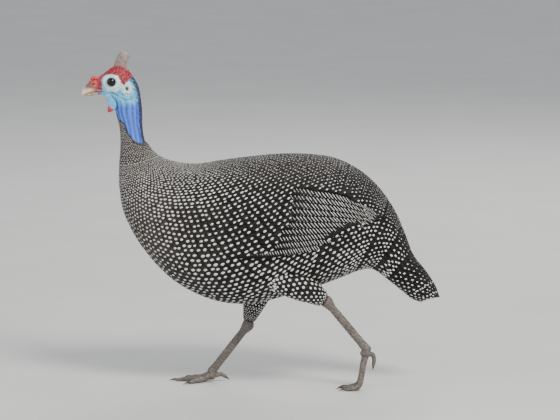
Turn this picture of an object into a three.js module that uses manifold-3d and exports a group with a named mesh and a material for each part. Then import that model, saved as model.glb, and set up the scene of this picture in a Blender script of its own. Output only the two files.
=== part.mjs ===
// A helmeted guineafowl at life size, walking, as a still model in named parts.
// Millimetres, +Z up. The bird faces -X and its left side is -Y. Shapes are placed on a
// working frame whose floor is z = 0, and the group is then moved so that the middle of
// its bounding box's underside is the origin.
import * as THREE from "three";
import Module from "manifold-3d";

const wasm = await Module();
wasm.setup();

// Driving dimensions
const GAP = 0.3; // between parts that touch
const FLOOR = 0;
const BODY_SIDES = 26;
const TAIL_SIDES = 18;
const NECK_SIDES = 22;
const HEAD_SIDES = 18;
const LIMB_SIDES = 10;
const EYE_SIDES = 10;
const BULB_SIDES = 6;
const BODY_ROUND = 2.15; // superellipse power of the trunk's cross-sections
const HEAD_ROUND = 2.0;

const EYE = { x: -178.8, z: 369.7, radius: 6.2, sunk: 3.4, opening: 4.9 };
const EAR = { x: -160.2, z: 361.5, width: 3.4, height: 4.4, depth: 2.6, rim: 0.8 };
const NOSTRIL = { x: -200.5, z: 366.2, length: 4.6, height: 1.7, depth: 1.7 };
const MOUTH_CORNER = { x: -189.4, z: 357.2, line: 0.8, depth: 2.4 };
const HIP_SPREAD = 27; // of each foot from the middle plane
const SHANK = { ankleDepth: 7.6, ankleWidth: 5.6, depth: 4.8, width: 3.7, scutes: 9, scuteRise: 0.35 };
const TOE = { middle: 43, side: 33, spread: 36, depth: 3.6, tip: 1.9 };
const TOE_WIDTH_SHARE = 0.92; // of a toe's half depth
const CLAW = { length: 9.5, rearLength: 6, radius: 1.7 };

// The legs in the side view: the drumstick as [x, z, half depth, half width, distance from the
// middle plane], the ankle, and the knuckle where the toes meet
const LEFT_LEG = {
  side: -1,
  flatFooted: false,
  drumstick: [
    [8, 137, 12, 14, 32],
    [27, 133, 15, 20, 37],
    [46, 127, 16, 20, 38],
    [61, 119, 13, 15, 34],
    [72, 111, 9, 8.5, 29],
  ],
  ankle: [78, 107],
  knuckle: [126, 49],
};
const RIGHT_LEG = {
  side: 1,
  flatFooted: true,
  drumstick: [
    [-4, 132, 24, 20, 39],
    [-7, 108, 18, 17, 35],
    [-11, 90, 11.5, 11, 31],
    [-15, 78, 7.5, 7, 28],
  ],
  ankle: [-17, 69],
  knuckle: [-61, 12],
};

// Cross-sections: the top point and the bottom point in the side view, and the half width
const station = (topX, topZ, bottomX, bottomZ, halfWidth) => ({ topX, topZ, bottomX, bottomZ, halfWidth });
const HEAD = [
  station(-196.2, 372.7, -196.8, 353.6, 6.8),
  station(-187.2, 379.5, -191.8, 353.1, 11),
  station(-180.6, 384.4, -189.1, 352.4, 12.8),
  station(-172.8, 388.2, -186.5, 351.1, 14),
  station(-163.8, 386.6, -183.8, 349.7, 14.6),
  station(-156, 378.7, -181.7, 348, 14.4),
  station(-149.4, 368.4, -179.8, 346.3, 13.4),
  station(-145.7, 356.9, -178.1, 342.9, 12.4),
];
const NECK = [
  HEAD.at(-1),
  station(-144, 343.6, -175.7, 336.6, 11.8),
  station(-143, 329, -172.3, 326, 11.6),
  station(-142, 314.6, -169.4, 313.5, 11.9),
  station(-139.2, 301, -168.5, 299.4, 14),
  station(-133.2, 289, -169, 284, 18),
];
const TORSO = [
  NECK.at(-1),
  station(-122, 279, -170.5, 264, 26),
  station(-104, 272, -170, 240, 37),
  station(-77, 269.3, -164, 209, 48),
  station(-46, 274, -143, 170, 57),
  station(-14, 278, -107, 131, 63),
  station(19, 281, -61, 107, 66),
  station(54, 281, -14, 101.5, 66),
  station(88, 276, 31, 112, 62),
  station(118, 261, 70, 124, 54),
  station(142, 239, 97, 134, 43),
  station(160, 212, 118, 142, 33),
];
const TAIL = [
  TORSO.at(-1),
  station(171, 187, 134, 143, 27),
  station(182, 159, 151, 131, 24),
  station(196, 141, 166, 119, 21),
  station(207, 124, 181, 107, 17),
  station(214, 107, 193, 102, 9),
];
const BILL_UPPER = [
  station(-196.4, 372.2, -196.8, 357.4, 6.6),
  station(-201, 371.2, -201.1, 356.7, 5.9),
  station(-205.8, 368.3, -205.4, 355.6, 4.9),
  station(-210, 364.7, -209.3, 354.6, 3.8),
  station(-213.6, 360.4, -212.6, 353.4, 2.6),
  station(-215.8, 355.6, -214.8, 351.6, 1.1),
];
const BILL_LOWER = [
  station(-196.8, 357.05, -196.8, 353.6, 5.8),
  station(-201.1, 356.3, -201.1, 352.2, 5),
  station(-205.4, 355.2, -205.4, 351.5, 4),
  station(-209.2, 354.1, -209.4, 351.6, 2.8),
  station(-211.6, 353.2, -211.9, 352, 1.3),
];
const CASQUE = [
  station(-161.4, 383, -177.4, 381, 5.6),
  station(-161.2, 389.5, -175.6, 390.5, 5),
  station(-159, 394.5, -173, 397.5, 5),
  station(-156, 399, -169.4, 403.4, 4.6),
  station(-157.4, 402.4, -165.4, 405.2, 2.8),
];

// Soft bulbs over the root of the bill: [x, y, z, radius]
const CARUNCLES = [
  [-204, 0, 370.6, 1.9],
  [-202, -2.1, 371.6, 2.1],
  [-202, 2.1, 371.6, 2.1],
  [-200.2, 0, 374, 2.3],
];

// The folded wing's upper and lower borders in the side view, from shoulder to tip
const WING = {
  upper: [[-88, 236], [-66, 250], [-28, 257], [34, 256], [80, 243], [106, 220], [118, 198]],
  lower: [[-92, 214], [-78, 187], [-44, 169], [0, 164], [46, 172], [91, 184], [116, 190]],
  inner: 0.85,
  edge: 0.7,
  thickness: 2.4,
  bareFrom: 0.66, // share of the length where the flight feathers leave the arm
  along: 9,
  across: 6,
};

// Tiers of wing feathers, rear first: places along the wing, count, half width as a share of
// the spacing, lift over the flank at root and tip, and the slant that lets one overlap the next
const WING_TIERS = [
  { from: 0.46, to: 0.98, count: 7, half: 0.63, root: 1.9, tip: 2.2, slant: 0.75, stagger: 0.07, long: true },
  { from: 0.3, to: 0.63, count: 6, half: 0.62, root: 1.6, tip: 4, slant: 0.5, stagger: -0.02 },
  { from: 0.13, to: 0.42, count: 5, half: 0.62, root: 1.6, tip: 4.6, slant: 0.5, stagger: -0.02 },
];
const PRIMARIES = {
  from: 0.56,
  to: 1.07,
  count: 3,
  first: 0.52,
  step: 0.14,
  half: 0.08,
  root: 1.3,
  tip: 1.2,
  long: true,
};
const PRIMARY_STAGGER = 0.03;

// Tiers of tail feathers: places along the tail in stations, angles from its ridge, count,
// width, and lift over the tail's surface at root and tip
const TAIL_CORE_END = 3;
const TAIL_CORE_NARROWING = { height: 0.45, width: 0.55 }; // at the end of the core, under the feathers
const TAIL_TIERS = [
  { from: 1.7, to: 4.95, sweep: 112, count: 10, width: 14, root: -1.9, tip: 0.4, slant: 0.75, stagger: 0.35 },
  { from: 1.1, to: 3.5, sweep: 92, count: 6, width: 20, root: -1.5, tip: 3, slant: 0.6, stagger: 0.25 },
  { from: 0.3, to: 2.2, sweep: 80, count: 4, width: 25, root: -1.3, tip: 2.8, slant: 0.5, stagger: 0.2 },
];
const UNDERTAIL = {
  from: 0.5,
  to: 3.7,
  sweep: 36,
  count: 3,
  width: 17,
  root: -1.6,
  tip: 1.4,
  slant: 0.5,
  stagger: 0.3,
};
const VANE = {
  thick: 0.75,
  tipThick: 0.5,
  places: [0, 0.45, 0.86, 1],
  longPlaces: [0, 0.3, 0.62, 0.88, 1],
};

// Colours from the bird: dark brown-black plumage, bare skin of the head, horn and scutes
const COLOURS = {
  plumage: 0x2c2a2c,
  neck: 0x4a6ec8,
  head: 0x7cc4dc,
  bill: 0xbe9682,
  casque: 0xaa9690,
  eye: 0x0c0a0a,
  wattle: 0x5ab4dc,
  leg: 0x7a706c,
  claw: 0x3a3430,
};

// Solids from rings

function orientedManifold(points, faces) {
  let volume = 0;
  const [a, b, c] = [new THREE.Vector3(), new THREE.Vector3(), new THREE.Vector3()];
  for (const [i, j, k] of faces) {
    volume += a.copy(points[i]).dot(b.copy(points[j]).cross(c.copy(points[k])));
  }
  const triVerts = new Uint32Array(faces.length * 3);
  faces.forEach(([i, j, k], n) => triVerts.set(volume < 0 ? [i, k, j] : [i, j, k], n * 3));
  const vertProperties = new Float32Array(points.length * 3);
  points.forEach((p, n) => vertProperties.set([p.x, p.y, p.z], n * 3));
  return new wasm.Manifold(new wasm.Mesh({ numProp: 3, vertProperties, triVerts }));
}

// A ring is its centre and two half axes, one along the height and one along the width
function ringPoints({ centre, tall, wide, round = 2 }, sides) {
  const points = [];
  for (let i = 0; i < sides; i++) {
    const angle = (2 * Math.PI * i) / sides;
    const bend = (v) => Math.sign(v) * Math.abs(v) ** (2 / round);
    points.push(
      centre
        .clone()
        .addScaledVector(tall, bend(Math.cos(angle)))
        .addScaledVector(wide, bend(Math.sin(angle))),
    );
  }
  return points;
}

// A closed body through the rings, with flat ends
function loft(rings, sides) {
  const points = rings.flatMap((ring) => ringPoints(ring, sides));
  const faces = [];
  for (let r = 0; r + 1 < rings.length; r++) {
    for (let i = 0; i < sides; i++) {
      const j = (i + 1) % sides;
      const [p, q] = [r * sides + i, r * sides + j];
      faces.push([p, q, q + sides], [p, q + sides, p + sides]);
    }
  }
  [0, rings.length - 1].forEach((r) => {
    const middle = points.push(rings[r].centre.clone()) - 1;
    for (let i = 0; i < sides; i++) {
      const [p, q] = [r * sides + i, r * sides + ((i + 1) % sides)];
      faces.push(r === 0 ? [middle, q, p] : [middle, p, q]);
    }
  });
  return orientedManifold(points, faces);
}

// Catmull-Rom between hand-set values, at a place measured in stations
function smoothValue(values, place) {
  const i = Math.min(Math.floor(place), values.length - 2);
  const t = place - i;
  const v1 = values[i];
  const v2 = values[i + 1];
  const v0 = i > 0 ? values[i - 1] : 2 * v1 - v2;
  const v3 = i + 2 < values.length ? values[i + 2] : 2 * v2 - v1;
  const cubic = -v0 + 3 * v1 - 3 * v2 + v3;
  const square = 2 * v0 - 5 * v1 + 4 * v2 - v3;
  return 0.5 * (2 * v1 + (v2 - v0) * t + square * t * t + cubic * t * t * t);
}

function stationAt(stations, place) {
  const value = (key) => smoothValue(stations.map((s) => s[key]), place);
  return station(value("topX"), value("topZ"), value("bottomX"), value("bottomZ"), value("halfWidth"));
}

function stationRing({ topX, topZ, bottomX, bottomZ, halfWidth }, round, grow = 0) {
  const tall = new THREE.Vector3((topX - bottomX) / 2, 0, (topZ - bottomZ) / 2);
  return {
    centre: new THREE.Vector3((topX + bottomX) / 2, 0, (topZ + bottomZ) / 2),
    tall: tall.clone().addScaledVector(tall.clone().normalize(), grow),
    wide: new THREE.Vector3(0, halfWidth + grow, 0),
    round,
  };
}

// The rings of a run of stations; each end moves half a gap inward so that neighbours clear
function stationRings(stations, perSpan, round, { grow = 0, startGap = GAP / 2, endGap = GAP / 2 } = {}) {
  const count = (stations.length - 1) * perSpan;
  const rings = [];
  for (let i = 0; i <= count; i++) rings.push(stationRing(stationAt(stations, i / perSpan), round, grow));
  const inward = (from, to, distance) => {
    const normal = new THREE.Vector3().crossVectors(from.tall, from.wide).normalize();
    const sign = Math.sign(normal.dot(to.centre.clone().sub(from.centre)));
    from.centre.addScaledVector(normal, sign * distance);
  };
  inward(rings[0], rings[1], startGap);
  inward(rings.at(-1), rings.at(-2), endGap);
  return rings;
}

// The trunk, tail, neck or head grown by the gap, that neighbours are cut clear of
function grown(stations, { round = BODY_ROUND, sides = BODY_SIDES, endGap = 0 } = {}) {
  return loft(stationRings(stations, 2, round, { grow: GAP, startGap: 0, endGap }), sides);
}

const grownHead = () => grown(HEAD, { round: HEAD_ROUND, sides: HEAD_SIDES, endGap: -GAP });
const grownNeck = () => grown(NECK, { round: HEAD_ROUND, sides: NECK_SIDES });

// Rings along a limb's path of [x, y, z, half depth, half width]
function limbRings(path) {
  const points = path.map(([x, y, z]) => new THREE.Vector3(x, y, z));
  return path.map(([, , , depth, width], i) => {
    const ahead = points[Math.min(i + 1, path.length - 1)];
    const along = ahead.clone().sub(points[Math.max(i - 1, 0)]).normalize();
    const wide = new THREE.Vector3(0, 1, 0).addScaledVector(along, -along.y).normalize();
    const tall = new THREE.Vector3().crossVectors(wide, along).normalize();
    return { centre: points[i], tall: tall.multiplyScalar(depth), wide: wide.multiplyScalar(width) };
  });
}

// A limb's body, or with grow the larger body that its neighbours are cut clear of
function limb(path, sides, grow = 0) {
  const rings = limbRings(path.map(([x, y, z, depth, width]) => [x, y, z, depth + grow, width + grow]));
  for (const [end, next] of [
    [rings[0], rings[1]],
    [rings.at(-1), rings.at(-2)],
  ]) {
    end.centre.addScaledVector(end.centre.clone().sub(next.centre).normalize(), grow);
  }
  return loft(rings, sides);
}

function ellipsoid(x, y, z, rx, ry, rz, sides = 14) {
  const rings = [];
  for (let i = 1; i < sides; i++) {
    const angle = (Math.PI * i) / sides;
    const reach = Math.sin(angle);
    rings.push({
      centre: new THREE.Vector3(x, y - ry * Math.cos(angle), z),
      tall: new THREE.Vector3(0, 0, rz * reach),
      wide: new THREE.Vector3(rx * reach, 0, 0),
    });
  }
  return loft(rings, sides);
}

function block(x0, y0, z0, x1, y1, z1) {
  const tall = new THREE.Vector3(0, 0, (z1 - z0) / 2);
  const corner = Math.SQRT1_2;
  const ring = (x) => {
    const centre = new THREE.Vector3(x, (y0 + y1) / 2, (z0 + z1) / 2);
    const up = tall.clone().divideScalar(corner);
    const side = new THREE.Vector3(0, (y1 - y0) / 2, 0).divideScalar(corner);
    const tallAxis = up.clone().add(side).multiplyScalar(corner);
    const wideAxis = side.clone().sub(up).multiplyScalar(corner);
    return { centre, tall: tallAxis, wide: wideAxis };
  };
  return loft([ring(x0), ring(x1)], 4);
}

// A rounded bar bent round a centre in a plane square to Y, from one angle to another
function arcBar(centre, radiusX, radiusZ, from, to, thick, proud, steps = 8, sides = 5) {
  const path = [];
  for (let i = 0; i <= steps; i++) {
    const angle = THREE.MathUtils.degToRad(from + ((to - from) * i) / steps);
    const taper = 0.35 + 0.65 * Math.sin((Math.PI * i) / steps);
    path.push({ angle, taper });
  }
  const rings = path.map(({ angle, taper }) => {
    const outward = new THREE.Vector3(Math.cos(angle), 0, Math.sin(angle));
    return {
      centre: centre.clone().add(new THREE.Vector3(radiusX * outward.x, 0, radiusZ * outward.z)),
      tall: outward.multiplyScalar(thick * taper),
      wide: new THREE.Vector3(0, proud * taper, 0),
    };
  });
  return loft(rings, sides);
}

const unite = (bodies) => bodies.reduce((whole, body) => whole.add(body));

// The one closed surface that holds the most, without the scraps a cut leaves
function largest(body) {
  return body.decompose().reduce((best, piece) => (piece.volume() > best.volume() ? piece : best));
}

function meshOf(name, body, colour, roughness) {
  const { numProp, vertProperties, triVerts } = largest(body).getMesh();
  const count = vertProperties.length / numProp;
  const positions = new Float32Array(count * 3);
  for (let i = 0; i < count; i++) positions.set(vertProperties.subarray(i * numProp, i * numProp + 3), i * 3);
  const geometry = new THREE.BufferGeometry();
  geometry.setAttribute("position", new THREE.BufferAttribute(positions, 3));
  geometry.setIndex(new THREE.BufferAttribute(new Uint32Array(triVerts), 1));
  geometry.computeVertexNormals();
  const material = new THREE.MeshStandardMaterial({ color: colour, roughness, metalness: 0 });
  const mesh = new THREE.Mesh(geometry, material);
  mesh.name = name;
  return mesh;
}

// The trunk's flank

// How far from the middle plane the trunk reaches at a place in its side view
function flankReach(x, z) {
  const stations = [...TORSO, ...TAIL.slice(1)];
  const side = (s) => (s.topX - s.bottomX) * (z - s.bottomZ) - (s.topZ - s.bottomZ) * (x - s.bottomX);
  let low = 0;
  let high = stations.length - 1;
  const startSign = Math.sign(side(stationAt(stations, low)));
  for (let i = 0; i < 24; i++) {
    const middle = (low + high) / 2;
    if (Math.sign(side(stationAt(stations, middle))) === startSign) low = middle;
    else high = middle;
  }
  const s = stationAt(stations, low);
  const [lineX, lineZ] = [s.topX - s.bottomX, s.topZ - s.bottomZ];
  const share = ((x - s.bottomX) * lineX + (z - s.bottomZ) * lineZ) / Math.hypot(lineX, lineZ) ** 2;
  const level = Math.min(Math.abs(2 * share - 1), 0.995);
  return s.halfWidth * (1 - level ** BODY_ROUND) ** (1 / BODY_ROUND);
}

// The point over the flank at a side-view place, lifted off it by a height
function overFlank(x, z, lift, side) {
  const step = 1.5;
  const reach = flankReach(x, z);
  const slopeX = (flankReach(x + step, z) - flankReach(x - step, z)) / (2 * step);
  const slopeZ = (flankReach(x, z + step) - flankReach(x, z - step)) / (2 * step);
  const normal = new THREE.Vector3(-slopeX, 1, -slopeZ).normalize();
  return new THREE.Vector3(x + normal.x * lift, side * (reach + normal.y * lift), z + normal.z * lift);
}

// Parts

function headBody() {
  const cuts = [];
  const forms = [loft(stationRings(HEAD, 2, HEAD_ROUND), HEAD_SIDES)];
  for (const side of [-1, 1]) {
    const surface = headReach(EYE.x, EYE.z);
    const lidCentre = new THREE.Vector3(EYE.x, side * (surface - 0.2), EYE.z);
    forms.push(arcBar(lidCentre, EYE.opening + 1.1, EYE.opening + 0.9, -15, 195, 1.3, 1.6, 7));
    forms.push(arcBar(lidCentre, EYE.opening + 1, EYE.opening + 0.8, 170, 370, 1.1, 1.4, 7));
    const ear = headReach(EAR.x, EAR.z);
    const earCentre = new THREE.Vector3(EAR.x, side * (ear - 0.3), EAR.z);
    forms.push(arcBar(earCentre, EAR.width + EAR.rim, EAR.height + EAR.rim, -80, 260, EAR.rim, 1.1, 9));
    const socket = EYE.radius + GAP;
    cuts.push(ellipsoid(EYE.x, side * (surface - EYE.sunk), EYE.z, socket, socket, socket, EYE_SIDES));
    cuts.push(ellipsoid(EAR.x, side * ear, EAR.z, EAR.width, EAR.depth, EAR.height, 8));
    const corner = headReach(MOUTH_CORNER.x, MOUTH_CORNER.z);
    const reach = [side * (corner - MOUTH_CORNER.depth), side * (corner + 9)].sort((a, b) => a - b);
    const half = MOUTH_CORNER.line / 2;
    const [low, high] = [MOUTH_CORNER.z - half, MOUTH_CORNER.z + half];
    cuts.push(block(HEAD[0].topX - 4, reach[0] - 2, low, MOUTH_CORNER.x, reach[1], high));
  }
  return unite(forms).subtract(unite(cuts));
}

// How far from the middle plane the head reaches at a place in its side view
function headReach(x, z) {
  let best = 0;
  for (let i = 0; i <= 60; i++) {
    const s = stationAt(HEAD, (i * (HEAD.length - 1)) / 60);
    const height = Math.hypot(s.topX - s.bottomX, s.topZ - s.bottomZ);
    const alongX = (s.topX - s.bottomX) / height;
    const alongZ = (s.topZ - s.bottomZ) / height;
    const off = Math.abs((x - s.bottomX) * alongZ - (z - s.bottomZ) * alongX);
    const level = Math.abs((2 * ((x - s.bottomX) * alongX + (z - s.bottomZ) * alongZ)) / height - 1);
    if (off < 1 && level < 1) best = Math.max(best, s.halfWidth * Math.sqrt(1 - level ** 2));
  }
  return best;
}

function billUpper() {
  const holes = [-1, 1].map((side) =>
    ellipsoid(NOSTRIL.x, side * 6.2, NOSTRIL.z, NOSTRIL.length / 2, NOSTRIL.depth, NOSTRIL.height / 2, 8),
  );
  const bulbs = CARUNCLES.map(([x, y, z, radius]) => ellipsoid(x, y, z, radius, radius, radius, BULB_SIDES));
  const horn = loft(stationRings(BILL_UPPER, 1, 2), 14).subtract(unite(holes));
  return unite([horn, ...bulbs]).subtract(grownHead());
}

function eyeBall(side) {
  const y = side * (headReach(EYE.x, EYE.z) - EYE.sunk);
  return ellipsoid(EYE.x, y, EYE.z, EYE.radius, EYE.radius, EYE.radius, EYE_SIDES);
}

// A flat fold of skin that hangs from the corner of the mouth and ends in a bulb
function wattle(side) {
  const rootY = 11.4;
  const path = [
    [-184.2, rootY - 1.2, 354.6, 3, 0.9],
    [-181.4, rootY + 0.9, 351.2, 3.8, 0.9],
    [-178.8, rootY + 2.2, 347, 4.6, 1],
    [-178, rootY + 2.8, 342, 4.9, 1.1],
    [-178.8, rootY + 2.7, 338.2, 4.5, 1.7],
    [-180.6, rootY + 2.2, 335.2, 3.3, 1.8],
    [-182, rootY + 1.9, 333.2, 1.2, 0.8],
  ];
  const rings = path.map(([x, y, z, deep, thick], i) => {
    const fold = 0.35 * Math.sin((Math.PI * i) / (path.length - 1));
    return {
      centre: new THREE.Vector3(x, side * y, z),
      tall: new THREE.Vector3(deep, side * deep * fold, 0),
      wide: new THREE.Vector3(0, side * thick, 0),
    };
  });
  return loft(rings, 10).subtract(grownHead()).subtract(grownNeck());
}

function casque() {
  const rings = stationRings(CASQUE, 2, 2, { startGap: 0, endGap: 0 });
  return loft(rings, 14).subtract(grownHead());
}

// One feather's vane: a thin plate on a surface given as at(along, across, lift), where
// along runs 0 to 1 from root to tip and across runs -1 to 1 from edge to edge
function vane(at, { root, tip, slant = 0, long = false }) {
  const places = long ? VANE.longPlaces : VANE.places;
  const points = [[], []];
  for (const along of places) {
    const outline = Math.min(1, 0.5 + 1.2 * along) * Math.sqrt(Math.max(1 - along ** 7, 0.06));
    const thick = THREE.MathUtils.lerp(VANE.thick, VANE.tipThick, along);
    for (const across of [-1, 0, 1]) {
      const lift = THREE.MathUtils.lerp(root, tip, along) + slant * across * outline;
      points[0].push(at(along, across * outline, lift));
      points[1].push(at(along, across * outline, lift + thick));
    }
  }
  return gridShell(points, places.length - 1, 2);
}

const wingBorder = (points) => new THREE.CatmullRomCurve3(points.map(([x, z]) => new THREE.Vector3(x, 0, z)));
const WING_BORDERS = [wingBorder(WING.upper), wingBorder(WING.lower)];

// A side-view place on the wing: along it from shoulder to tip and across it from top to bottom
function wingPlace(along, across) {
  const inside = Math.min(along, 1);
  const place = WING_BORDERS[0].getPoint(inside).lerp(WING_BORDERS[1].getPoint(inside), across);
  const tangent = WING_BORDERS[0].getTangent(inside).add(WING_BORDERS[1].getTangent(inside)).normalize();
  return place.addScaledVector(tangent, (along - inside) * WING_BORDERS[1].getLength());
}

const overWing = (along, across, lift, side) => {
  const place = wingPlace(along, across);
  return overFlank(place.x, place.z, lift, side);
};

// The folded wing: the arm's shell over the flank, then its feathers in tiers
function wing(side) {
  const shell = [[], []];
  for (let i = 0; i <= WING.along; i++) {
    const along = (WING.bareFrom * i) / WING.along;
    for (let j = 0; j <= WING.across; j++) {
      const across = j / WING.across;
      const lengthwise = Math.sin((Math.PI * (0.1 + 0.86 * i)) / WING.along);
      const swell = Math.max(Math.sqrt(Math.sin(Math.PI * across)) * lengthwise, 0);
      shell[0].push(overWing(along, across, WING.inner, side));
      shell[1].push(overWing(along, across, WING.inner + WING.edge + WING.thickness * swell, side));
    }
  }
  const forms = [gridShell(shell, WING.along, WING.across)];
  for (const tier of WING_TIERS) {
    for (let k = 0; k < tier.count; k++) {
      const middle = (k + 0.5) / tier.count;
      const half = tier.half / tier.count;
      const to = tier.to - tier.stagger * (1 - middle);
      const at = (along, across, lift) =>
        overWing(tier.from + (to - tier.from) * along, middle + half * across, lift, side);
      forms.push(vane(at, tier));
    }
  }
  for (let k = 0; k < PRIMARIES.count; k++) {
    const middle = PRIMARIES.first + PRIMARIES.step * k;
    const to = PRIMARIES.to - PRIMARY_STAGGER * k;
    const at = (along, across, lift) =>
      overWing(PRIMARIES.from + (to - PRIMARIES.from) * along, middle + PRIMARIES.half * across, lift, side);
    forms.push(vane(at, PRIMARIES));
  }
  return unite(forms).subtract(grown(TORSO)).subtract(grown(TAIL));
}

// A closed plate between two like grids of points, its triangles split alike on both faces
function gridShell([inner, outer], rows, columns) {
  const width = columns + 1;
  const points = [...inner, ...outer];
  const shift = inner.length;
  const faces = [];
  for (let i = 0; i < rows; i++) {
    for (let j = 0; j < columns; j++) {
      const a = i * width + j;
      const [b, c, d] = [a + 1, a + width, a + width + 1];
      faces.push([a, c, d], [a, d, b]);
      faces.push([shift + a, shift + d, shift + c], [shift + a, shift + b, shift + d]);
    }
  }
  const rim = [];
  for (let j = 0; j < columns; j++) rim.push(j);
  for (let i = 0; i < rows; i++) rim.push(i * width + columns);
  for (let j = columns; j > 0; j--) rim.push(rows * width + j);
  for (let i = rows; i > 0; i--) rim.push(i * width);
  rim.forEach((p, n) => {
    const q = rim[(n + 1) % rim.length];
    faces.push([p, q, shift + q], [p, shift + q, shift + p]);
  });
  return orientedManifold(points, faces);
}

// A point on the tail's surface, its place in stations and its angle from the ridge in degrees
function overTail(place, angle, lift) {
  const ring = stationRing(stationAt(TAIL, Math.min(place, TAIL.length - 1)), BODY_ROUND);
  const turn = THREE.MathUtils.degToRad(angle);
  const bend = (v) => Math.sign(v) * Math.abs(v) ** (2 / BODY_ROUND);
  const [up, out] = [bend(Math.cos(turn)), bend(Math.sin(turn))];
  const normal = ring.tall.clone().normalize().multiplyScalar(Math.cos(turn));
  normal.y += Math.sin(turn);
  const point = ring.centre.clone().addScaledVector(ring.tall, up).addScaledVector(ring.wide, out);
  return point.addScaledVector(normal, lift);
}

// The tail: its root, then its feathers in tiers, the middle pair on top
function tail() {
  const core = TAIL.slice(0, TAIL_CORE_END + 1);
  const end = core.at(-1);
  const [midX, midZ] = [(end.topX + end.bottomX) / 2, (end.topZ + end.bottomZ) / 2];
  const shrink = (from, to) => from + (to - from) * TAIL_CORE_NARROWING.height;
  core[core.length - 1] = station(
    shrink(end.topX, midX),
    shrink(end.topZ, midZ),
    shrink(end.bottomX, midX),
    shrink(end.bottomZ, midZ),
    end.halfWidth * TAIL_CORE_NARROWING.width,
  );
  const forms = [loft(stationRings(core, 2, BODY_ROUND, { endGap: 0 }), TAIL_SIDES)];
  for (const [tier, ridge] of [...TAIL_TIERS.map((tier) => [tier, 0]), [UNDERTAIL, 180]]) {
    for (let k = 0; k < tier.count; k++) {
      const share = (2 * k) / (tier.count - 1) - 1;
      const sign = Math.sign(share) || 1;
      const to = tier.to - tier.stagger * Math.abs(share);
      const at = (along, across, lift) => {
        const place = tier.from + (to - tier.from) * along;
        const radius = stationAt(TAIL, place).halfWidth;
        const half = THREE.MathUtils.radToDeg(tier.width / 2 / radius);
        return overTail(place, ridge + tier.sweep * share + half * across, lift);
      };
      forms.push(vane(at, { ...tier, slant: -tier.slant * sign }));
    }
  }
  return unite(forms);
}

function drumstickPath({ side, drumstick: path }) {
  return path.map(([x, z, depth, width, spread]) => [x, side * spread, z, depth, width]);
}

const drumstick = (leg) => limb(drumstickPath(leg), 18).subtract(grown(TORSO));

// The bare shank from the ankle to the knuckle, ringed by its scutes
function shankPath({ side, drumstick: path, ankle, knuckle }) {
  const y = side * HIP_SPREAD;
  const [startX, startZ, depth, width] = path.at(-1);
  const rows = [[startX, y, startZ, depth * 0.7, width * 0.7]];
  rows.push([ankle[0], y, ankle[1], SHANK.ankleDepth, SHANK.ankleWidth]);
  for (let i = 1; i <= SHANK.scutes; i++) {
    const share = i / (SHANK.scutes + 1);
    const x = ankle[0] + (knuckle[0] - ankle[0]) * share;
    const z = ankle[1] + (knuckle[1] - ankle[1]) * share;
    const rise = i % 2 ? SHANK.scuteRise : 0;
    rows.push([x, y, z, SHANK.depth + rise, SHANK.width + rise]);
  }
  rows.push([knuckle[0], y, knuckle[1], SHANK.depth + 1.2, SHANK.width + 2.2]);
  return rows;
}

const shank = (leg) => limb(shankPath(leg), LIMB_SIDES).subtract(limb(drumstickPath(leg), 18, GAP));

// A toe's path from the knuckle to its tip: [x, y, z, half depth, half width]
function toePath({ side, knuckle, flatFooted }, heading, length) {
  const y = side * HIP_SPREAD;
  const turn = THREE.MathUtils.degToRad(heading);
  const reach = (distance, z, thick) => {
    const lateral = Math.sin(turn) * distance;
    return [knuckle[0] - Math.cos(turn) * distance, y + lateral, z, thick, thick * TOE_WIDTH_SHARE];
  };
  if (flatFooted) {
    return [
      reach(2, knuckle[1] - 3, TOE.depth + 0.8),
      reach(length * 0.3, 5, TOE.depth + 0.2),
      reach(length * 0.55, TOE.depth - 0.5, TOE.depth),
      reach(length * 0.8, 2.5, 2.8),
      reach(length, 1.6, TOE.tip),
    ];
  }
  const bunch = Math.sin(turn) * length * 0.5;
  const drop = (forward, z, share, thick) => {
    const lateral = bunch * share;
    return [knuckle[0] - forward, y + lateral, z, thick, thick * TOE_WIDTH_SHARE];
  };
  const scale = length / TOE.middle;
  return [
    drop(1, knuckle[1] - 5, 0.1, TOE.depth + 0.9),
    drop(4, knuckle[1] - 17, 0.35, TOE.depth + 0.3),
    drop(6, 19, 0.6, TOE.depth),
    drop(9, 7, 0.85, TOE.depth - 0.1),
    drop(15, 2.9, 1, 3),
    drop(15 + 13 * scale, 1.6, 1.15, TOE.tip),
  ];
}

const TOES = [
  ["inner", 1, TOE.side],
  ["middle", 0, TOE.middle],
  ["outer", -1, TOE.side],
];

const floorCut = () => block(-300, -100, FLOOR - 30, 300, 100, FLOOR);

function rearToe({ side, knuckle, flatFooted }) {
  const y = side * (HIP_SPREAD - 3);
  const points = flatFooted
    ? [[8, -3, 3], [13, -3.2, 2.6], [17, -6, 2]]
    : [[7, -7, 3], [9, -13, 2.6], [8, -20, 2]];
  return points.map(([x, z, thick]) => [knuckle[0] + x, y, knuckle[1] + z, thick, thick]);
}

function foot(leg) {
  const { side, knuckle } = leg;
  const y = side * HIP_SPREAD;
  const pieces = TOES.map(([, turn, length]) => limb(toePath(leg, turn * TOE.spread * -side, length), 7));
  const rearRoot = [knuckle[0] + 1, side * (HIP_SPREAD - 2), Math.max(knuckle[1] - 5, 5), 3.2, 3];
  pieces.push(limb([rearRoot, ...rearToe(leg)], 7));
  pieces.push(ellipsoid(knuckle[0] - 0.5, y, Math.max(knuckle[1] - 4, 6), 7, 7, 6.6, 8));
  return unite(pieces).subtract(limb(shankPath(leg), LIMB_SIDES, GAP)).subtract(floorCut());
}

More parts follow.
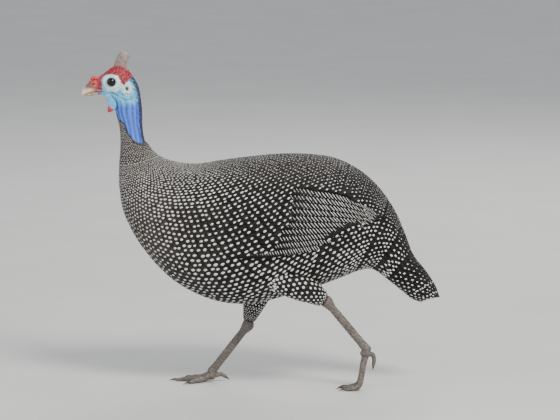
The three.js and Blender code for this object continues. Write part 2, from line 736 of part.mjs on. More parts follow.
// A claw goes on from the end of its toe, curved down to a point
function claw(path, length) {
  const [x0, y0, z0] = path.at(-2);
  const [x, y, z, depth] = path.at(-1);
  const along = new THREE.Vector3(x - x0, y - y0, z - z0).normalize();
  const rings = [];
  const steps = 5;
  for (let i = 0; i <= steps; i++) {
    const share = i / steps;
    const centre = new THREE.Vector3(x, y, z).addScaledVector(along, (length + 1) * share - 1);
    const thick = Math.max(Math.min(depth, CLAW.radius) * (1 - share ** 1.5), 0.28);
    centre.z = Math.max(centre.z + (z < 4 ? 1.1 * Math.sin(Math.PI * share) : 0), thick + 0.05);
    rings.push([centre.x, centre.y, centre.z, thick, thick * 0.8]);
  }
  return limb(rings, 7).subtract(limb(path, 7, GAP)).subtract(floorCut());
}

// The bird

const bird = new THREE.Group();
const parts = new THREE.Group();
bird.add(parts);

const add = (name, body, colour, roughness = 0.8) => parts.add(meshOf(name, body, colour, roughness));

add("torso", loft(stationRings(TORSO, 2, BODY_ROUND), BODY_SIDES), COLOURS.plumage);
add("neck", loft(stationRings(NECK, 2, HEAD_ROUND), NECK_SIDES), COLOURS.neck);
add("head", headBody(), COLOURS.head, 0.6);
add("bill_upper", billUpper(), COLOURS.bill, 0.5);
add("bill_lower", loft(stationRings(BILL_LOWER, 1, 2), 12), COLOURS.bill, 0.5);
add("casque", casque(), COLOURS.casque, 0.6);
add("tail", tail(), COLOURS.plumage);
for (const [name, side, leg] of [
  ["left", -1, LEFT_LEG],
  ["right", 1, RIGHT_LEG],
]) {
  add(`eye_${name}`, eyeBall(side), COLOURS.eye, 0.15);
  add(`wattle_${name}`, wattle(side), COLOURS.wattle, 0.6);
  add(`wing_${name}`, wing(side), COLOURS.plumage);
  add(`drumstick_${name}`, drumstick(leg), COLOURS.plumage);
  add(`shank_${name}`, shank(leg), COLOURS.leg, 0.6);
  add(`foot_${name}`, foot(leg), COLOURS.leg, 0.6);
  for (const [toe, turn, length] of TOES) {
    const path = toePath(leg, turn * TOE.spread * -side, length);
    add(`claw_${toe}_${name}`, claw(path, CLAW.length), COLOURS.claw, 0.4);
  }
  add(`claw_rear_${name}`, claw(rearToe(leg), CLAW.rearLength), COLOURS.claw, 0.4);
}

const bounds = new THREE.Box3().setFromObject(parts);
const middle = bounds.getCenter(new THREE.Vector3());
parts.position.set(-middle.x, -middle.y, -bounds.min.z);

export default bird;
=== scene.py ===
"""A helmeted guineafowl at life size, walking: skin, feathers, bare head and scaly legs.

Shapes are worked out in the part's own working frame, in millimetres, with the floor at
z = 0, the bird facing -X and its left side at -Y, and are then moved into the row frame.
"""

import logging
import math
from dataclasses import dataclass, field
from enum import Enum
from typing import Callable, Sequence

import bmesh
import bpy
import numpy as np
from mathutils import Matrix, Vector
from mathutils.kdtree import KDTree

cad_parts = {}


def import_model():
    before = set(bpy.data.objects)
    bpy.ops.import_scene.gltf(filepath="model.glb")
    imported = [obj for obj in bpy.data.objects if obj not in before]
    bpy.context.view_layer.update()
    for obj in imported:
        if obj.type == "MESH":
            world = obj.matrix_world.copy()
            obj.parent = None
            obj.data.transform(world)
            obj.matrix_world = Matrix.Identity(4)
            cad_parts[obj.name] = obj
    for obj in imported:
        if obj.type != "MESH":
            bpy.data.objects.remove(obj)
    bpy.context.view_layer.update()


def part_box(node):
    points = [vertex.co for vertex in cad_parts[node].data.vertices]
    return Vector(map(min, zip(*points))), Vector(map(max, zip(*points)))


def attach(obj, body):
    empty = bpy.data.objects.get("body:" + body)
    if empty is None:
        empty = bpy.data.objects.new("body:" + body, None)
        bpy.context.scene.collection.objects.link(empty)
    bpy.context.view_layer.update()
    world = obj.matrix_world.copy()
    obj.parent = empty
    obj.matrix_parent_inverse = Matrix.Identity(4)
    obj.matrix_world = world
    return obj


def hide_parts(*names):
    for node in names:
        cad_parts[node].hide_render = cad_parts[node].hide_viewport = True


LOG = logging.getLogger("guineafowl")
MM = 0.001
GRAIN_INPUTS = ("Scale", "Detail", "Roughness")

Array = np.ndarray
Piece = bpy.types.Object
Socket = bpy.types.NodeSocket
Colour = tuple[float, float, float]
Surface = Callable[[Array, Array, Array], Array]
Relief = Callable[[Array, Array], Array]

# The bird's cross-sections in the side view: top point, bottom point and half width
HEAD = [
    (-196.2, 372.7, -196.8, 353.6, 6.8),
    (-187.2, 379.5, -191.8, 353.1, 11.0),
    (-180.6, 384.4, -189.1, 352.4, 12.8),
    (-172.8, 388.2, -186.5, 351.1, 14.0),
    (-163.8, 386.6, -183.8, 349.7, 14.6),
    (-156.0, 378.7, -181.7, 348.0, 14.4),
    (-149.4, 368.4, -179.8, 346.3, 13.4),
    (-145.7, 356.9, -178.1, 342.9, 12.4),
]
NECK = [
    (-144.0, 343.6, -175.7, 336.6, 11.8),
    (-143.0, 329.0, -172.3, 326.0, 11.6),
    (-142.0, 314.6, -169.4, 313.5, 11.9),
    (-139.2, 301.0, -168.5, 299.4, 14.0),
    (-133.2, 289.0, -169.0, 284.0, 18.0),
]
TORSO = [
    (-122.0, 279.0, -170.5, 264.0, 26.0),
    (-104.0, 272.0, -170.0, 240.0, 37.0),
    (-77.0, 269.3, -164.0, 209.0, 48.0),
    (-46.0, 274.0, -143.0, 170.0, 57.0),
    (-14.0, 278.0, -107.0, 131.0, 63.0),
    (19.0, 281.0, -61.0, 107.0, 66.0),
    (54.0, 281.0, -14.0, 101.5, 66.0),
    (88.0, 276.0, 31.0, 112.0, 62.0),
    (118.0, 261.0, 70.0, 124.0, 54.0),
    (142.0, 239.0, 97.0, 134.0, 43.0),
    (160.0, 212.0, 118.0, 142.0, 33.0),
]
TAIL = [
    (171.0, 187.0, 134.0, 143.0, 27.0),
    (182.0, 159.0, 151.0, 131.0, 24.0),
    (196.0, 141.0, 166.0, 119.0, 21.0),
    (207.0, 124.0, 181.0, 107.0, 17.0),
    (214.0, 107.0, 193.0, 102.0, 9.0),
]
BILL_UPPER = [
    (-195.6, 372.4, -196.0, 357.4, 6.6),
    (-201.0, 371.2, -201.1, 356.7, 5.9),
    (-205.8, 368.3, -205.4, 355.6, 4.9),
    (-210.0, 364.7, -209.3, 354.6, 3.8),
    (-213.6, 360.4, -212.6, 353.4, 2.6),
    (-215.5, 355.6, -214.6, 351.8, 1.0),
]
BILL_LOWER = [
    (-195.6, 357.2, -195.6, 353.6, 5.8),
    (-201.1, 356.5, -201.1, 352.2, 5.0),
    (-205.4, 355.4, -205.4, 351.5, 4.0),
    (-209.2, 354.3, -209.4, 351.6, 2.8),
    (-211.6, 353.2, -211.9, 352.0, 1.3),
]
CASQUE = [
    (-160.8, 381.0, -178.0, 379.0, 6.2),
    (-161.2, 389.5, -175.6, 390.5, 5.0),
    (-159.0, 394.5, -173.0, 397.5, 4.9),
    (-156.2, 399.0, -169.2, 403.2, 4.4),
    (-156.9, 401.2, -166.6, 404.4, 3.4),
    (-158.4, 402.3, -164.6, 404.8, 1.6),
]
# Places on the body, in stations, where the neck, the feathers, the trunk and the tail begin
NECK_PLACE = 7.0
FEATHERED_PLACE = 9.0
TORSO_PLACE = 12.0
TAIL_PLACE = 23.0
# How square the body's sections are, and how deep the skin lies under the coat, in millimetres
BODY_ROUND = 2.1
COAT_DEPTH = 2.2

# The folded wing's upper and lower borders in the side view, from shoulder to tip
WING_UPPER = [(-88, 236), (-66, 249), (-28, 253), (34, 249), (80, 242), (112, 231), (137, 215)]
WING_LOWER = [(-92, 214), (-78, 187), (-44, 169), (0, 167), (46, 173), (92, 180), (133, 187)]

# Front and rear borders of the panel that the flight feathers fill: heights, and x at each
PANEL_FRONT = ((160, 182, 194, 207, 222, 236, 260), (6, 12, 20, 28, 31, 31, 34))
PANEL_REAR = ((170, 182, 193, 203, 208, 228), (56, 64, 82, 102, 118, 114))
# Where the flight feathers end: shares of the way across the wing, and shares along it
FLIGHT_ENDS = ((0, 0.34, 0.58, 0.77, 0.94, 1), (1.0, 0.99, 0.93, 0.83, 0.745, 0.71))

# The eye: its middle in the side view, its radius, how deep its middle lies, its opening's radius
EYE_X, EYE_Z, EYE_RADIUS, EYE_SUNK, EYE_OPENING = -178.8, 369.7, 6.2, 3.4, 4.9
# The ear's middle, with its half width and half height
EAR_X, EAR_Z, EAR_HALF = -160.2, 361.5, (3.0, 3.8)
# The nostril's middle and half length, and the height of the mouth's line
NOSTRIL_X, NOSTRIL_Z, NOSTRIL_HALF = -200.5, 366.2, 2.6
MOUTH_Z = 357.2

# Lower border of the bare blue skin on the neck, as places in the side view
BARE_BORDER = [(-180, 334), (-174, 332.8), (-170.4, 325.5), (-164.4, 321), (-162, 313.4),
               (-157.2, 305.5), (-153.6, 299.5), (-146, 297), (-136, 296)]
# Creases of the bare skin behind the wattle and under the ear
CREASES = (
    ((-183, 352), (-177, 349), (-172.5, 343.5), (-173.5, 336), (-176, 331)),
    ((-167, 350.5), (-162.5, 348.2), (-157.5, 348.6), (-154, 350.5)),
    ((-161.5, 356.4), (-159, 354.6), (-155.5, 355.2)),
    ((-157.5, 352.4), (-155, 351.6), (-152.8, 353.2)),
    ((-180.5, 357.6), (-175, 355.4), (-170.5, 352.6)),
    ((-169.5, 357.5), (-166, 354.6), (-163.5, 354.2)),
)
# Lower border of the red crown
CROWN_BORDER = [(-206, 372), (-192, 373.5), (-186, 377.5), (-178.8, 378.6), (-171, 377), (-167, 369),
                (-164.5, 365.5), (-160, 370), (-156, 374), (-150, 380)]


class Side(Enum):
    """Which half of the bird a paired piece is on."""

    LEFT = -1
    RIGHT = 1

    @property
    def word(self) -> str:
        """The side's name in lower case."""
        return self.name.lower()


@dataclass(frozen=True)
class Shift:
    """The move from the working frame, in millimetres, to the row frame, in metres."""

    x: float
    z: float

    @classmethod
    def from_frame(cls) -> "Shift":
        """Read the move off the left eye, whose middle is known in both frames."""
        low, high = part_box("eye_left")
        return cls((low[0] + high[0]) / 2 - EYE_X * MM, (low[2] + high[2]) / 2 - EYE_Z * MM)

    def place(self, points: Array) -> Array:
        """Points in the row frame.

        Args:
            points: an (..., 3) array in millimetres in the working frame.

        Returns:
            The same points in metres in the row frame.
        """
        moved = np.asarray(points, dtype=float) * MM
        moved[..., 0] += self.x
        moved[..., 2] += self.z
        return moved


def smooth_rows(values: Array, places: Array) -> Array:
    """Catmull-Rom rows between given rows.

    Args:
        values: one row for each station.
        places: where to read, measured in stations.

    Returns:
        A row for each place.
    """
    values = np.asarray(values, dtype=float)
    padded = np.vstack([2 * values[0] - values[1], values, 2 * values[-1] - values[-2]])
    index = np.clip(np.floor(places).astype(int), 0, len(values) - 2)
    t = (places - index)[..., None]
    p0, p1, p2, p3 = (padded[index + k] for k in range(4))
    cubic = -p0 + 3 * p1 - 3 * p2 + p3
    square = 2 * p0 - 5 * p1 + 4 * p2 - p3
    return 0.5 * (2 * p1 + (p2 - p0) * t + square * t**2 + cubic * t**3)


def smooth_step(low: float, high: float, values: Array) -> Array:
    """Zero below low, one above high, and a smooth rise between."""
    t = np.clip((np.asarray(values, dtype=float) - low) / (high - low), 0, 1)
    return t * t * (3 - 2 * t)


def border_height(border: Sequence[tuple[float, float]], x: Array) -> Array:
    """The height of a side-view border at each x."""
    line = np.array(border, dtype=float)
    return np.interp(x, line[:, 0], line[:, 1])


@dataclass
class Loft:
    """A body through cross-sections, read by place along it and angle from its ridge."""

    stations: Sequence[tuple[float, ...]]
    power: float = 2.0

    @property
    def last(self) -> int:
        """The place of the last station."""
        return len(self.stations) - 1

    def at(self, place: Array, angle: Array, lift: Array | float = 0.0) -> Array:
        """Points on or over the surface.

        Args:
            place: places along the body, in stations.
            angle: angles from the ridge in radians, positive towards +Y.
            lift: height over the surface in millimetres.

        Returns:
            An array of points with one more axis than place.
        """
        place, angle = np.broadcast_arrays(np.asarray(place, float), np.asarray(angle, float))
        rows = smooth_rows(np.array(self.stations), np.clip(place, 0, self.last))
        top = np.stack([rows[..., 0], np.zeros_like(place), rows[..., 1]], -1)
        bottom = np.stack([rows[..., 2], np.zeros_like(place), rows[..., 3]], -1)
        centre, tall = (top + bottom) / 2, (top - bottom) / 2
        height = np.linalg.norm(tall, axis=-1)
        wide = np.maximum(rows[..., 4], 0.2)
        cos, sin = np.cos(angle), np.sin(angle)
        up = np.sign(cos) * np.abs(cos) ** (2 / self.power)
        out = np.sign(sin) * np.abs(sin) ** (2 / self.power)
        fall = 2 * (self.power - 1) / self.power
        normal_up = np.sign(cos) * np.abs(cos) ** fall / height
        normal_out = np.sign(sin) * np.abs(sin) ** fall / wide
        size = np.hypot(normal_up, normal_out)
        points = centre + tall * up[..., None]
        points[..., 1] += wide * out
        lift = np.broadcast_to(np.asarray(lift, float), place.shape)
        points = points + tall / height[..., None] * (normal_up / size * lift)[..., None]
        points[..., 1] += normal_out / size * lift
        return points


BODY = Loft(HEAD + NECK + TORSO + TAIL, BODY_ROUND)


def ring_grid(places: Array, sides: int, start: float = -np.pi) -> tuple[Array, Array]:
    """Grids of places along a body and of angles round it, one row for each ring.

    Args:
        places: the rings' places.
        sides: how many points a ring has.
        start: the angle of its first point, in radians.

    Returns:
        The places and the angles.
    """
    angles = np.linspace(start, start + 2 * np.pi, sides, endpoint=False)
    place, angle = np.meshgrid(places, angles, indexing="ij")
    return place, angle


def per_feather(values: Array, like: Array) -> Array:
    """One value for each feather, with as many axes as another array."""
    return np.reshape(values, (-1,) + (1,) * (np.ndim(like) - 1))


def unwrap_place(points: Array) -> Array:
    """Where points near the trunk lie on the skin's unwrap: along it, then round it.

    Args:
        points: points in the working frame.

    Returns:
        A pair of shares for each point.
    """
    place, angle = ring_grid(np.linspace(12, 26, 57), 96, 0.0)
    grid = BODY.at(place, angle).reshape(-1, 3)
    near = [int(np.argmin(((grid - point) ** 2).sum(-1))) for point in points.reshape(-1, 3)]
    return np.stack([place.ravel()[near] / BODY.last, angle.ravel()[near] / (2 * math.pi)], -1)


def flank_reach(x: Array, z: Array) -> Array:
    """How far from the middle plane the trunk reaches at places in its side view.

    Args:
        x: the places' x.
        z: their heights.

    Returns:
        The trunk's half width there.
    """
    low = np.full(np.shape(x), TORSO_PLACE + 0.5)
    high = np.full(np.shape(x), float(BODY.last))
    stations = np.array(BODY.stations)
    for _ in range(22):
        middle = (low + high) / 2
        s = smooth_rows(stations, middle)
        turn = (s[..., 0] - s[..., 2]) * (z - s[..., 3]) - (s[..., 1] - s[..., 3]) * (x - s[..., 2])
        ahead = turn > 0
        high = np.where(ahead, middle, high)
        low = np.where(ahead, low, middle)
    s = smooth_rows(stations, low)
    along_x, along_z = s[..., 0] - s[..., 2], s[..., 1] - s[..., 3]
    share = ((x - s[..., 2]) * along_x + (z - s[..., 3]) * along_z) / (along_x**2 + along_z**2)
    level = np.minimum(np.abs(2 * share - 1), 0.995)
    return s[..., 4] * (1 - level**BODY_ROUND) ** (1 / BODY_ROUND)


def over_flank(x: Array, z: Array, lift: Array, side: Side) -> Array:
    """Points lifted off the trunk's flank at side-view places.

    Args:
        x: the places' x.
        z: their heights.
        lift: height over the flank.
        side: which flank.

    Returns:
        Points in the working frame.
    """
    step = 1.5
    reach = flank_reach(x, z)
    slope_x = (flank_reach(x + step, z) - flank_reach(x - step, z)) / (2 * step)
    slope_z = (flank_reach(x, z + step) - flank_reach(x, z - step)) / (2 * step)
    size = np.sqrt(slope_x**2 + slope_z**2 + 1)
    y = side.value * (reach + lift / size)
    return np.stack([x - slope_x / size * lift, y, z - slope_z / size * lift], -1)


def ear_distance(x: Array, z: Array) -> Array:
    """How far side-view places are from the ear's middle, in units of its own size."""
    return np.hypot((x - EAR_X) / EAR_HALF[0], (z - EAR_Z) / EAR_HALF[1])


def nostril_distance(x: Array, z: Array) -> Array:
    """How far side-view places are from the slanted nostril's line, in units of its own size."""
    return np.hypot((x - NOSTRIL_X) / NOSTRIL_HALF, z - NOSTRIL_Z - 0.25 * (x - NOSTRIL_X))


def noise_field(points: Array, scale: float, seed: int) -> Array:
    """A smooth seeded wave field between -1 and 1, for folds and uneven colour.

    Args:
        points: points in the working frame.
        scale: how close the waves are.
        seed: seed of their directions.

    Returns:
        One value for each point.
    """
    rng = np.random.default_rng(seed)
    total = np.zeros(points.shape[:-1])
    for _ in range(9):
        direction = rng.normal(size=3)
        direction *= rng.uniform(0.6, 1.7) / np.linalg.norm(direction)
        total += np.sin(points @ direction * scale + rng.uniform(0, 6.28))
    return total / 4.2


# Meshes


def link_object(name: str, data: bpy.types.ID) -> Piece:
    """A new object for a mesh, a camera or a lamp, linked to the scene."""
    thing = bpy.data.objects.new(name, data)
    bpy.context.scene.collection.objects.link(thing)
    return thing


def mesh_object(name: str, points: Array, faces: Array, material: bpy.types.Material) -> Piece:
    """A mesh object from arrays of row-frame points and of faces with one corner count.

    Args:
        name: the piece's name.
        points: (n, 3) points in metres.
        faces: (m, corners) vertex numbers.
        material: the finish.

    Returns:
        The new object, linked to the scene.
    """
    mesh = bpy.data.meshes.new(name)
    faces = np.asarray(faces, dtype=np.int32)
    mesh.vertices.add(len(points))
    mesh.vertices.foreach_set("co", np.asarray(points, dtype=np.float32).ravel())
    mesh.loops.add(faces.size)
    mesh.loops.foreach_set("vertex_index", faces.ravel())
    mesh.polygons.add(len(faces))
    mesh.polygons.foreach_set("loop_start", np.arange(len(faces), dtype=np.int32) * faces.shape[1])
    mesh.polygons.foreach_set("use_smooth", np.ones(len(faces), dtype=bool))
    mesh.update(calc_edges=True)
    mesh.validate()
    mesh.materials.append(material)
    return link_object(name, mesh)


def add_map(piece: Piece, name: str, per_vertex: Array) -> None:
    """Give a piece a UV map whose corners take each vertex's value."""
    layer = piece.data.uv_layers.new(name=name)
    corners = np.empty(len(piece.data.loops), dtype=np.int32)
    piece.data.loops.foreach_get("vertex_index", corners)
    layer.data.foreach_set("uv", np.asarray(per_vertex, dtype=np.float32)[corners].ravel())


def add_colour(piece: Piece, name: str, colours: Array) -> None:
    """Give a piece a colour attribute, one linear colour for each vertex."""
    layer = piece.data.color_attributes.new(name=name, type="FLOAT_COLOR", domain="POINT")
    rgba = np.ones((len(colours), 4), dtype=np.float32)
    rgba[:, :3] = colours
    layer.data.foreach_set("color", rgba.ravel())


def add_value(piece: Piece, name: str, values: Array) -> None:
    """Give a piece a plain number for each vertex."""
    layer = piece.data.attributes.new(name=name, type="FLOAT", domain="POINT")
    layer.data.foreach_set("value", np.asarray(values, dtype=np.float32))


def tube_faces(rings: int, sides: int) -> list[tuple[int, ...]]:
    """The quads of a tube of rings."""
    faces = []
    for r in range(rings - 1):
        for i in range(sides):
            j = (i + 1) % sides
            faces.append((r * sides + i, r * sides + j, (r + 1) * sides + j, (r + 1) * sides + i))
    return faces


def closed_tube(name: str, rings: Array, material: bpy.types.Material) -> Piece:
    """A tube of (rings, sides, 3) row-frame points, closed by a fan at each end, facing out.

    Args:
        name: the piece's name.
        rings: the points.
        material: its finish.

    Returns:
        The new object.
    """
    count, sides = rings.shape[:2]
    points = list(map(tuple, rings.reshape(-1, 3)))
    faces = tube_faces(count, sides)
    for r, turn in ((0, 1), (count - 1, -1)):
        middle = len(points)
        points.append(tuple(rings[r].mean(axis=0)))
        for i in range(sides):
            pair = (r * sides + i, r * sides + (i + 1) % sides)
            faces.append((middle, *pair[::-1 * turn]))
    mesh = bpy.data.meshes.new(name)
    mesh.from_pydata(points, [], faces)
    mesh.materials.append(material)
    piece = link_object(name, mesh)
    face_outward(piece)
    return piece


def face_outward(piece: Piece) -> None:
    """Turn a closed mesh's faces outward and shade it smooth."""
    shape = bmesh.new()
    shape.from_mesh(piece.data)
    bmesh.ops.recalc_face_normals(shape, faces=shape.faces)
    shape.to_mesh(piece.data)
    shape.free()
    piece.data.polygons.foreach_set("use_smooth", [True] * len(piece.data.polygons))


def select_only(*pieces: Piece) -> None:
    """Select some pieces and nothing else, the first of them active."""
    bpy.ops.object.select_all(action="DESELECT")
    for piece in pieces:
        piece.select_set(True)
    bpy.context.view_layer.objects.active = pieces[0]


def settle(piece: Piece, node_slot: str, *nodes: str) -> None:
    """Fasten a finished piece to the model and report it.

    Args:
        piece: the piece, in the row frame.
        node_slot: not used.
        nodes: the nodes it stands for.
    """
    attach(piece, "root")
    if nodes:
        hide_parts(*nodes)
    LOG.info("%s: %d faces", piece.name, len(piece.data.polygons))


def join_pieces(pieces: Sequence[Piece], name: str) -> Piece:
    """Join objects into the first of them, under a new name.

    Args:
        pieces: the objects.
        name: the joined piece's name.

    Returns:
        The joined piece.
    """
    select_only(*pieces)
    bpy.ops.object.join()
    pieces[0].name = name
    pieces[0].data.name = name
    return pieces[0]


def unite(piece: Piece, other: Piece) -> None:
    """Grow another closed piece onto a piece, so that both have one surface.

    Args:
        piece: the piece that grows.
        other: the piece that is taken up.
    """
    select_only(piece)
    union = piece.modifiers.new("union", "BOOLEAN")
    union.operation = "UNION"
    union.solver = "EXACT"
    union.object = other
    bpy.ops.object.modifier_apply(modifier=union.name)
    bpy.data.objects.remove(other, do_unlink=True)


def apply_place(piece: Piece) -> None:
    """Move an object's place, turn and size into its mesh."""
    select_only(piece)
    bpy.ops.object.transform_apply(location=True, rotation=True, scale=True)


# Finishes


def grain_group() -> bpy.types.NodeTree:
    """The grain that the finishes share, built once: noise on object coordinates.

    Returns:
        A node group with the inputs Scale, Detail and Roughness and the output Value.
    """
    group = bpy.data.node_groups.get("grain")
    if group:
        return group
    group = bpy.data.node_groups.new("grain", "ShaderNodeTree")
    for name in GRAIN_INPUTS:
        group.interface.new_socket(name, in_out="INPUT", socket_type="NodeSocketFloat")
    group.interface.new_socket("Value", in_out="OUTPUT", socket_type="NodeSocketFloat")
    start = group.nodes.new("NodeGroupInput")
    place = group.nodes.new("ShaderNodeTexCoord")
    noise = group.nodes.new("ShaderNodeTexNoise")
    end = group.nodes.new("NodeGroupOutput")
    for name in GRAIN_INPUTS:
        group.links.new(start.outputs[name], noise.inputs[name])
    group.links.new(place.outputs["Object"], noise.inputs["Vector"])
    group.links.new(noise.outputs["Fac"], end.inputs["Value"])
    return group


@dataclass
class NodeDesk:
    """A material's node tree with short ways to lay and join its nodes."""

    material: bpy.types.Material

    @classmethod
    def open(cls, name: str) -> "NodeDesk":
        """A new node material and its desk.

        Args:
            name: the material's name.

        Returns:
            The desk.
        """
        material = bpy.data.materials.new(name)
        material.use_nodes = True
        return cls(material)

    def add(self, kind: str, **settings: object) -> bpy.types.Node:
        """A new node with properties set by name.

        Args:
            kind: the node's type.
            settings: its properties.

        Returns:
            The node.
        """
        node = self.material.node_tree.nodes.new(kind)
        for key, value in settings.items():
            setattr(node, key, value)
        return node

    def give(self, socket: Socket, value: object) -> None:
        """Link something to an input, or set the input's own value.

        Args:
            socket: the input.
            value: another node's output, a colour, a vector or a number.
        """
        if isinstance(value, Socket):
            self.material.node_tree.links.new(value, socket)
        elif socket.type == "RGBA":
            socket.default_value = (*value, 1.0)
        else:
            socket.default_value = value

    def finish(self, values: dict[str, object]) -> None:
        """Set or link inputs of the Principled BSDF, by name."""
        surface = self.material.node_tree.nodes["Principled BSDF"]
        for name, value in values.items():
            self.give(surface.inputs[name], value)

    def grain(self, scale: float, detail: float = 2.0, rough: float = 0.6) -> Socket:
        """The shared grain with its own values.

        Args:
            scale: features to the metre.
            detail: octaves.
            rough: how strong the finer octaves are.

        Returns:
            The grain's value socket.
        """
        node = self.add("ShaderNodeGroup", node_tree=grain_group())
        for name, value in zip(GRAIN_INPUTS, (scale, detail, rough)):
            node.inputs[name].default_value = value
        return node.outputs["Value"]

    def ramp(self, value: Socket, *stops: tuple[float, Colour]) -> Socket:
        """A colour ramp between two stops.

        Args:
            value: what the ramp reads.
            stops: the place and the colour of each stop.

        Returns:
            The colour socket.
        """
        ramp = self.add("ShaderNodeValToRGB")
        for element, (place, colour) in zip(ramp.color_ramp.elements, stops):
            element.position = place
            element.color = (*colour, 1.0)
        self.give(ramp.inputs["Fac"], value)
        return ramp.outputs["Color"]

    def mix(self, share: object, low: object, high: object, blend: str = "MIX") -> Socket:
        """A colour mix.

        Args:
            share: how much of the second colour, as a socket or a number.
            low: the first socket or colour.
            high: the second.
            blend: how they are mixed.

        Returns:
            The colour socket.
        """
        node = self.add("ShaderNodeMix", data_type="RGBA", blend_type=blend)
        for number, value in ((0, share), (6, low), (7, high)):
            self.give(node.inputs[number], value)
        return node.outputs[2]

    def sum(self, kind: str, first: object, second: object = 0.5) -> Socket:
        """A math node.

        Args:
            kind: the operation.
            first: its first socket or number.
            second: its second, where it has one.

        Returns:
            The value socket.
        """
        node = self.add("ShaderNodeMath", operation=kind)
        self.give(node.inputs[0], first)
        self.give(node.inputs[1], second)
        return node.outputs[0]

    def bump(self, height: Socket, strength: float, distance: float) -> None:
        """Bump the surface.

        Args:
            height: the pattern.
            strength: how much of it shows.
            distance: its height in metres.
        """
        node = self.add("ShaderNodeBump")
        self.give(node.inputs["Strength"], strength)
        self.give(node.inputs["Distance"], distance)
        self.give(node.inputs["Height"], height)
        self.finish({"Normal": node.outputs["Normal"]})

    def attribute(self, name: str) -> bpy.types.Node:
        """A mesh attribute node."""
        return self.add("ShaderNodeAttribute", attribute_name=name)


@dataclass(frozen=True)
class FeatherFinish:
    """Dark plumage, paler by the attribute Tone, with barbs and shaft on the map Vane."""

    name: str
    dark: Colour
    pale: Colour
    barb_slant: float = 0.55
    barb_pitch: float = 150.0
    shaft_half: float = 0.035

    def build(self) -> bpy.types.Material:
        """Make the material.

        Returns:
            The material.
        """
        desk = NodeDesk.open(self.name)
        tone = desk.attribute("Tone").outputs["Fac"]
        base = desk.mix(tone, self.dark, self.pale)
        fleck = desk.ramp(desk.grain(900, 2, 0.7), (0.52, (0, 0, 0)), (0.66, (1, 1, 1)))
        fleck_share = desk.sum("MULTIPLY", fleck, desk.sum("MULTIPLY", tone, 0.55))
        flecked = desk.mix(fleck_share, base, (0.3, 0.28, 0.26))
        vane = desk.add("ShaderNodeUVMap", uv_map="Vane")
        split = desk.add("ShaderNodeSeparateXYZ")
        desk.give(split.inputs["Vector"], vane.outputs["UV"])
        off_shaft = desk.sum("ABSOLUTE", split.outputs["X"])
        slant = desk.sum("ADD", split.outputs["Y"], desk.sum("MULTIPLY", off_shaft, self.barb_slant))
        barbs = desk.sum("SINE", desk.sum("MULTIPLY", slant, self.barb_pitch))
        shade = desk.ramp(desk.grain(160), (0.35, (0.72, 0.72, 0.72)), (0.65, (1.1, 1.08, 1.06)))
        toned = desk.mix(1.0, flecked, shade, "MULTIPLY")
        shaft = desk.sum("LESS_THAN", off_shaft, self.shaft_half)
        coloured = desk.mix(desk.sum("MULTIPLY", shaft, 0.35), toned, (0.09, 0.07, 0.06))
        desk.finish({"Base Color": coloured, "Roughness": 0.62, "Specular IOR Level": 0.22,
                     "Sheen Weight": 0.03, "Sheen Roughness": 0.4})
        desk.bump(barbs, 0.25, 0.0002)
        return desk.material


@dataclass(frozen=True)
class SpotFinish:
    """The white of the feathers' round spots and bars, a little uneven."""

    name: str = "spot_white"

    def build(self) -> bpy.types.Material:
        """Make the material.

        Returns:
            The material.
        """
        desk = NodeDesk.open(self.name)
        tone = desk.attribute("Tone").outputs["Fac"]
        shade = desk.ramp(desk.grain(400), (0.3, (0.78, 0.775, 0.74)), (0.7, (0.93, 0.93, 0.9)))
        colour = desk.mix(tone, shade, (0.42, 0.4, 0.37))
        desk.finish({"Base Color": colour, "Roughness": 0.7, "Specular IOR Level": 0.3})
        desk.bump(desk.grain(2500), 0.15, 0.0002)
        return desk.material


@dataclass(frozen=True)
class BareSkinFinish:
    """Bare skin whose colour is painted by region, with pores, folds and a soft shine."""

    name: str
    roughness: float = 0.5
    pores: float = 900.0
    depth: float = 0.0004

    def build(self) -> bpy.types.Material:
        """Make the material.

        Returns:
            The material.
        """
        desk = NodeDesk.open(self.name)
        tint = desk.attribute("Tint").outputs["Color"]
        mottle = desk.ramp(desk.grain(700, 4, 0.7), (0.3, (0.84, 0.84, 0.86)), (0.7, (1.1, 1.09, 1.08)))
        smooth, rough = (self.roughness - 0.1,) * 3, (self.roughness + 0.15,) * 3
        desk.finish({"Base Color": desk.mix(1.0, tint, mottle, "MULTIPLY"),
                     "Roughness": desk.ramp(desk.grain(500), (0.3, smooth), (0.7, rough)),
                     "Subsurface Weight": 0.08, "Subsurface Radius": (0.002, 0.0012, 0.001)})
        desk.bump(desk.grain(self.pores, 4, 0.65), 0.5, self.depth)
        return desk.material


@dataclass(frozen=True)
class HornFinish:
    """Horn or scute: two browns in streaks, worn paler where the grain is high."""

    name: str
    dark: Colour
    pale: Colour
    roughness: float = 0.45
    scale: float = 260.0
    depth: float = 0.0003

    def build(self) -> bpy.types.Material:
        """Make the material.

        Returns:
            The material.
        """
        desk = NodeDesk.open(self.name)
        streak = desk.ramp(desk.grain(self.scale, 5, 0.65), (0.32, self.dark), (0.68, self.pale))
        tint = desk.attribute("Tint").outputs["Color"]
        desk.finish({"Base Color": desk.mix(1.0, streak, tint, "MULTIPLY"), "Roughness": self.roughness})
        desk.bump(desk.grain(self.scale * 3, 4, 0.7), 0.45, self.depth)
        return desk.material


@dataclass(frozen=True)
class EyeFinish:
    """A wet dark eye: a black pupil in a deep brown iris."""

    name: str = "eye_wet"

    def build(self) -> bpy.types.Material:
        """Make the material.

        Returns:
            The material.
        """
        desk = NodeDesk.open(self.name)
        streaks = desk.ramp(desk.grain(1500), (0.3, (0.75, 0.75, 0.75)), (0.7, (1.2, 1.2, 1.2)))
        tint = desk.attribute("Tint").outputs["Color"]
        desk.finish({"Base Color": desk.mix(1.0, tint, streaks, "MULTIPLY"), "Roughness": 0.06,
                     "Specular IOR Level": 0.45})
        return desk.material


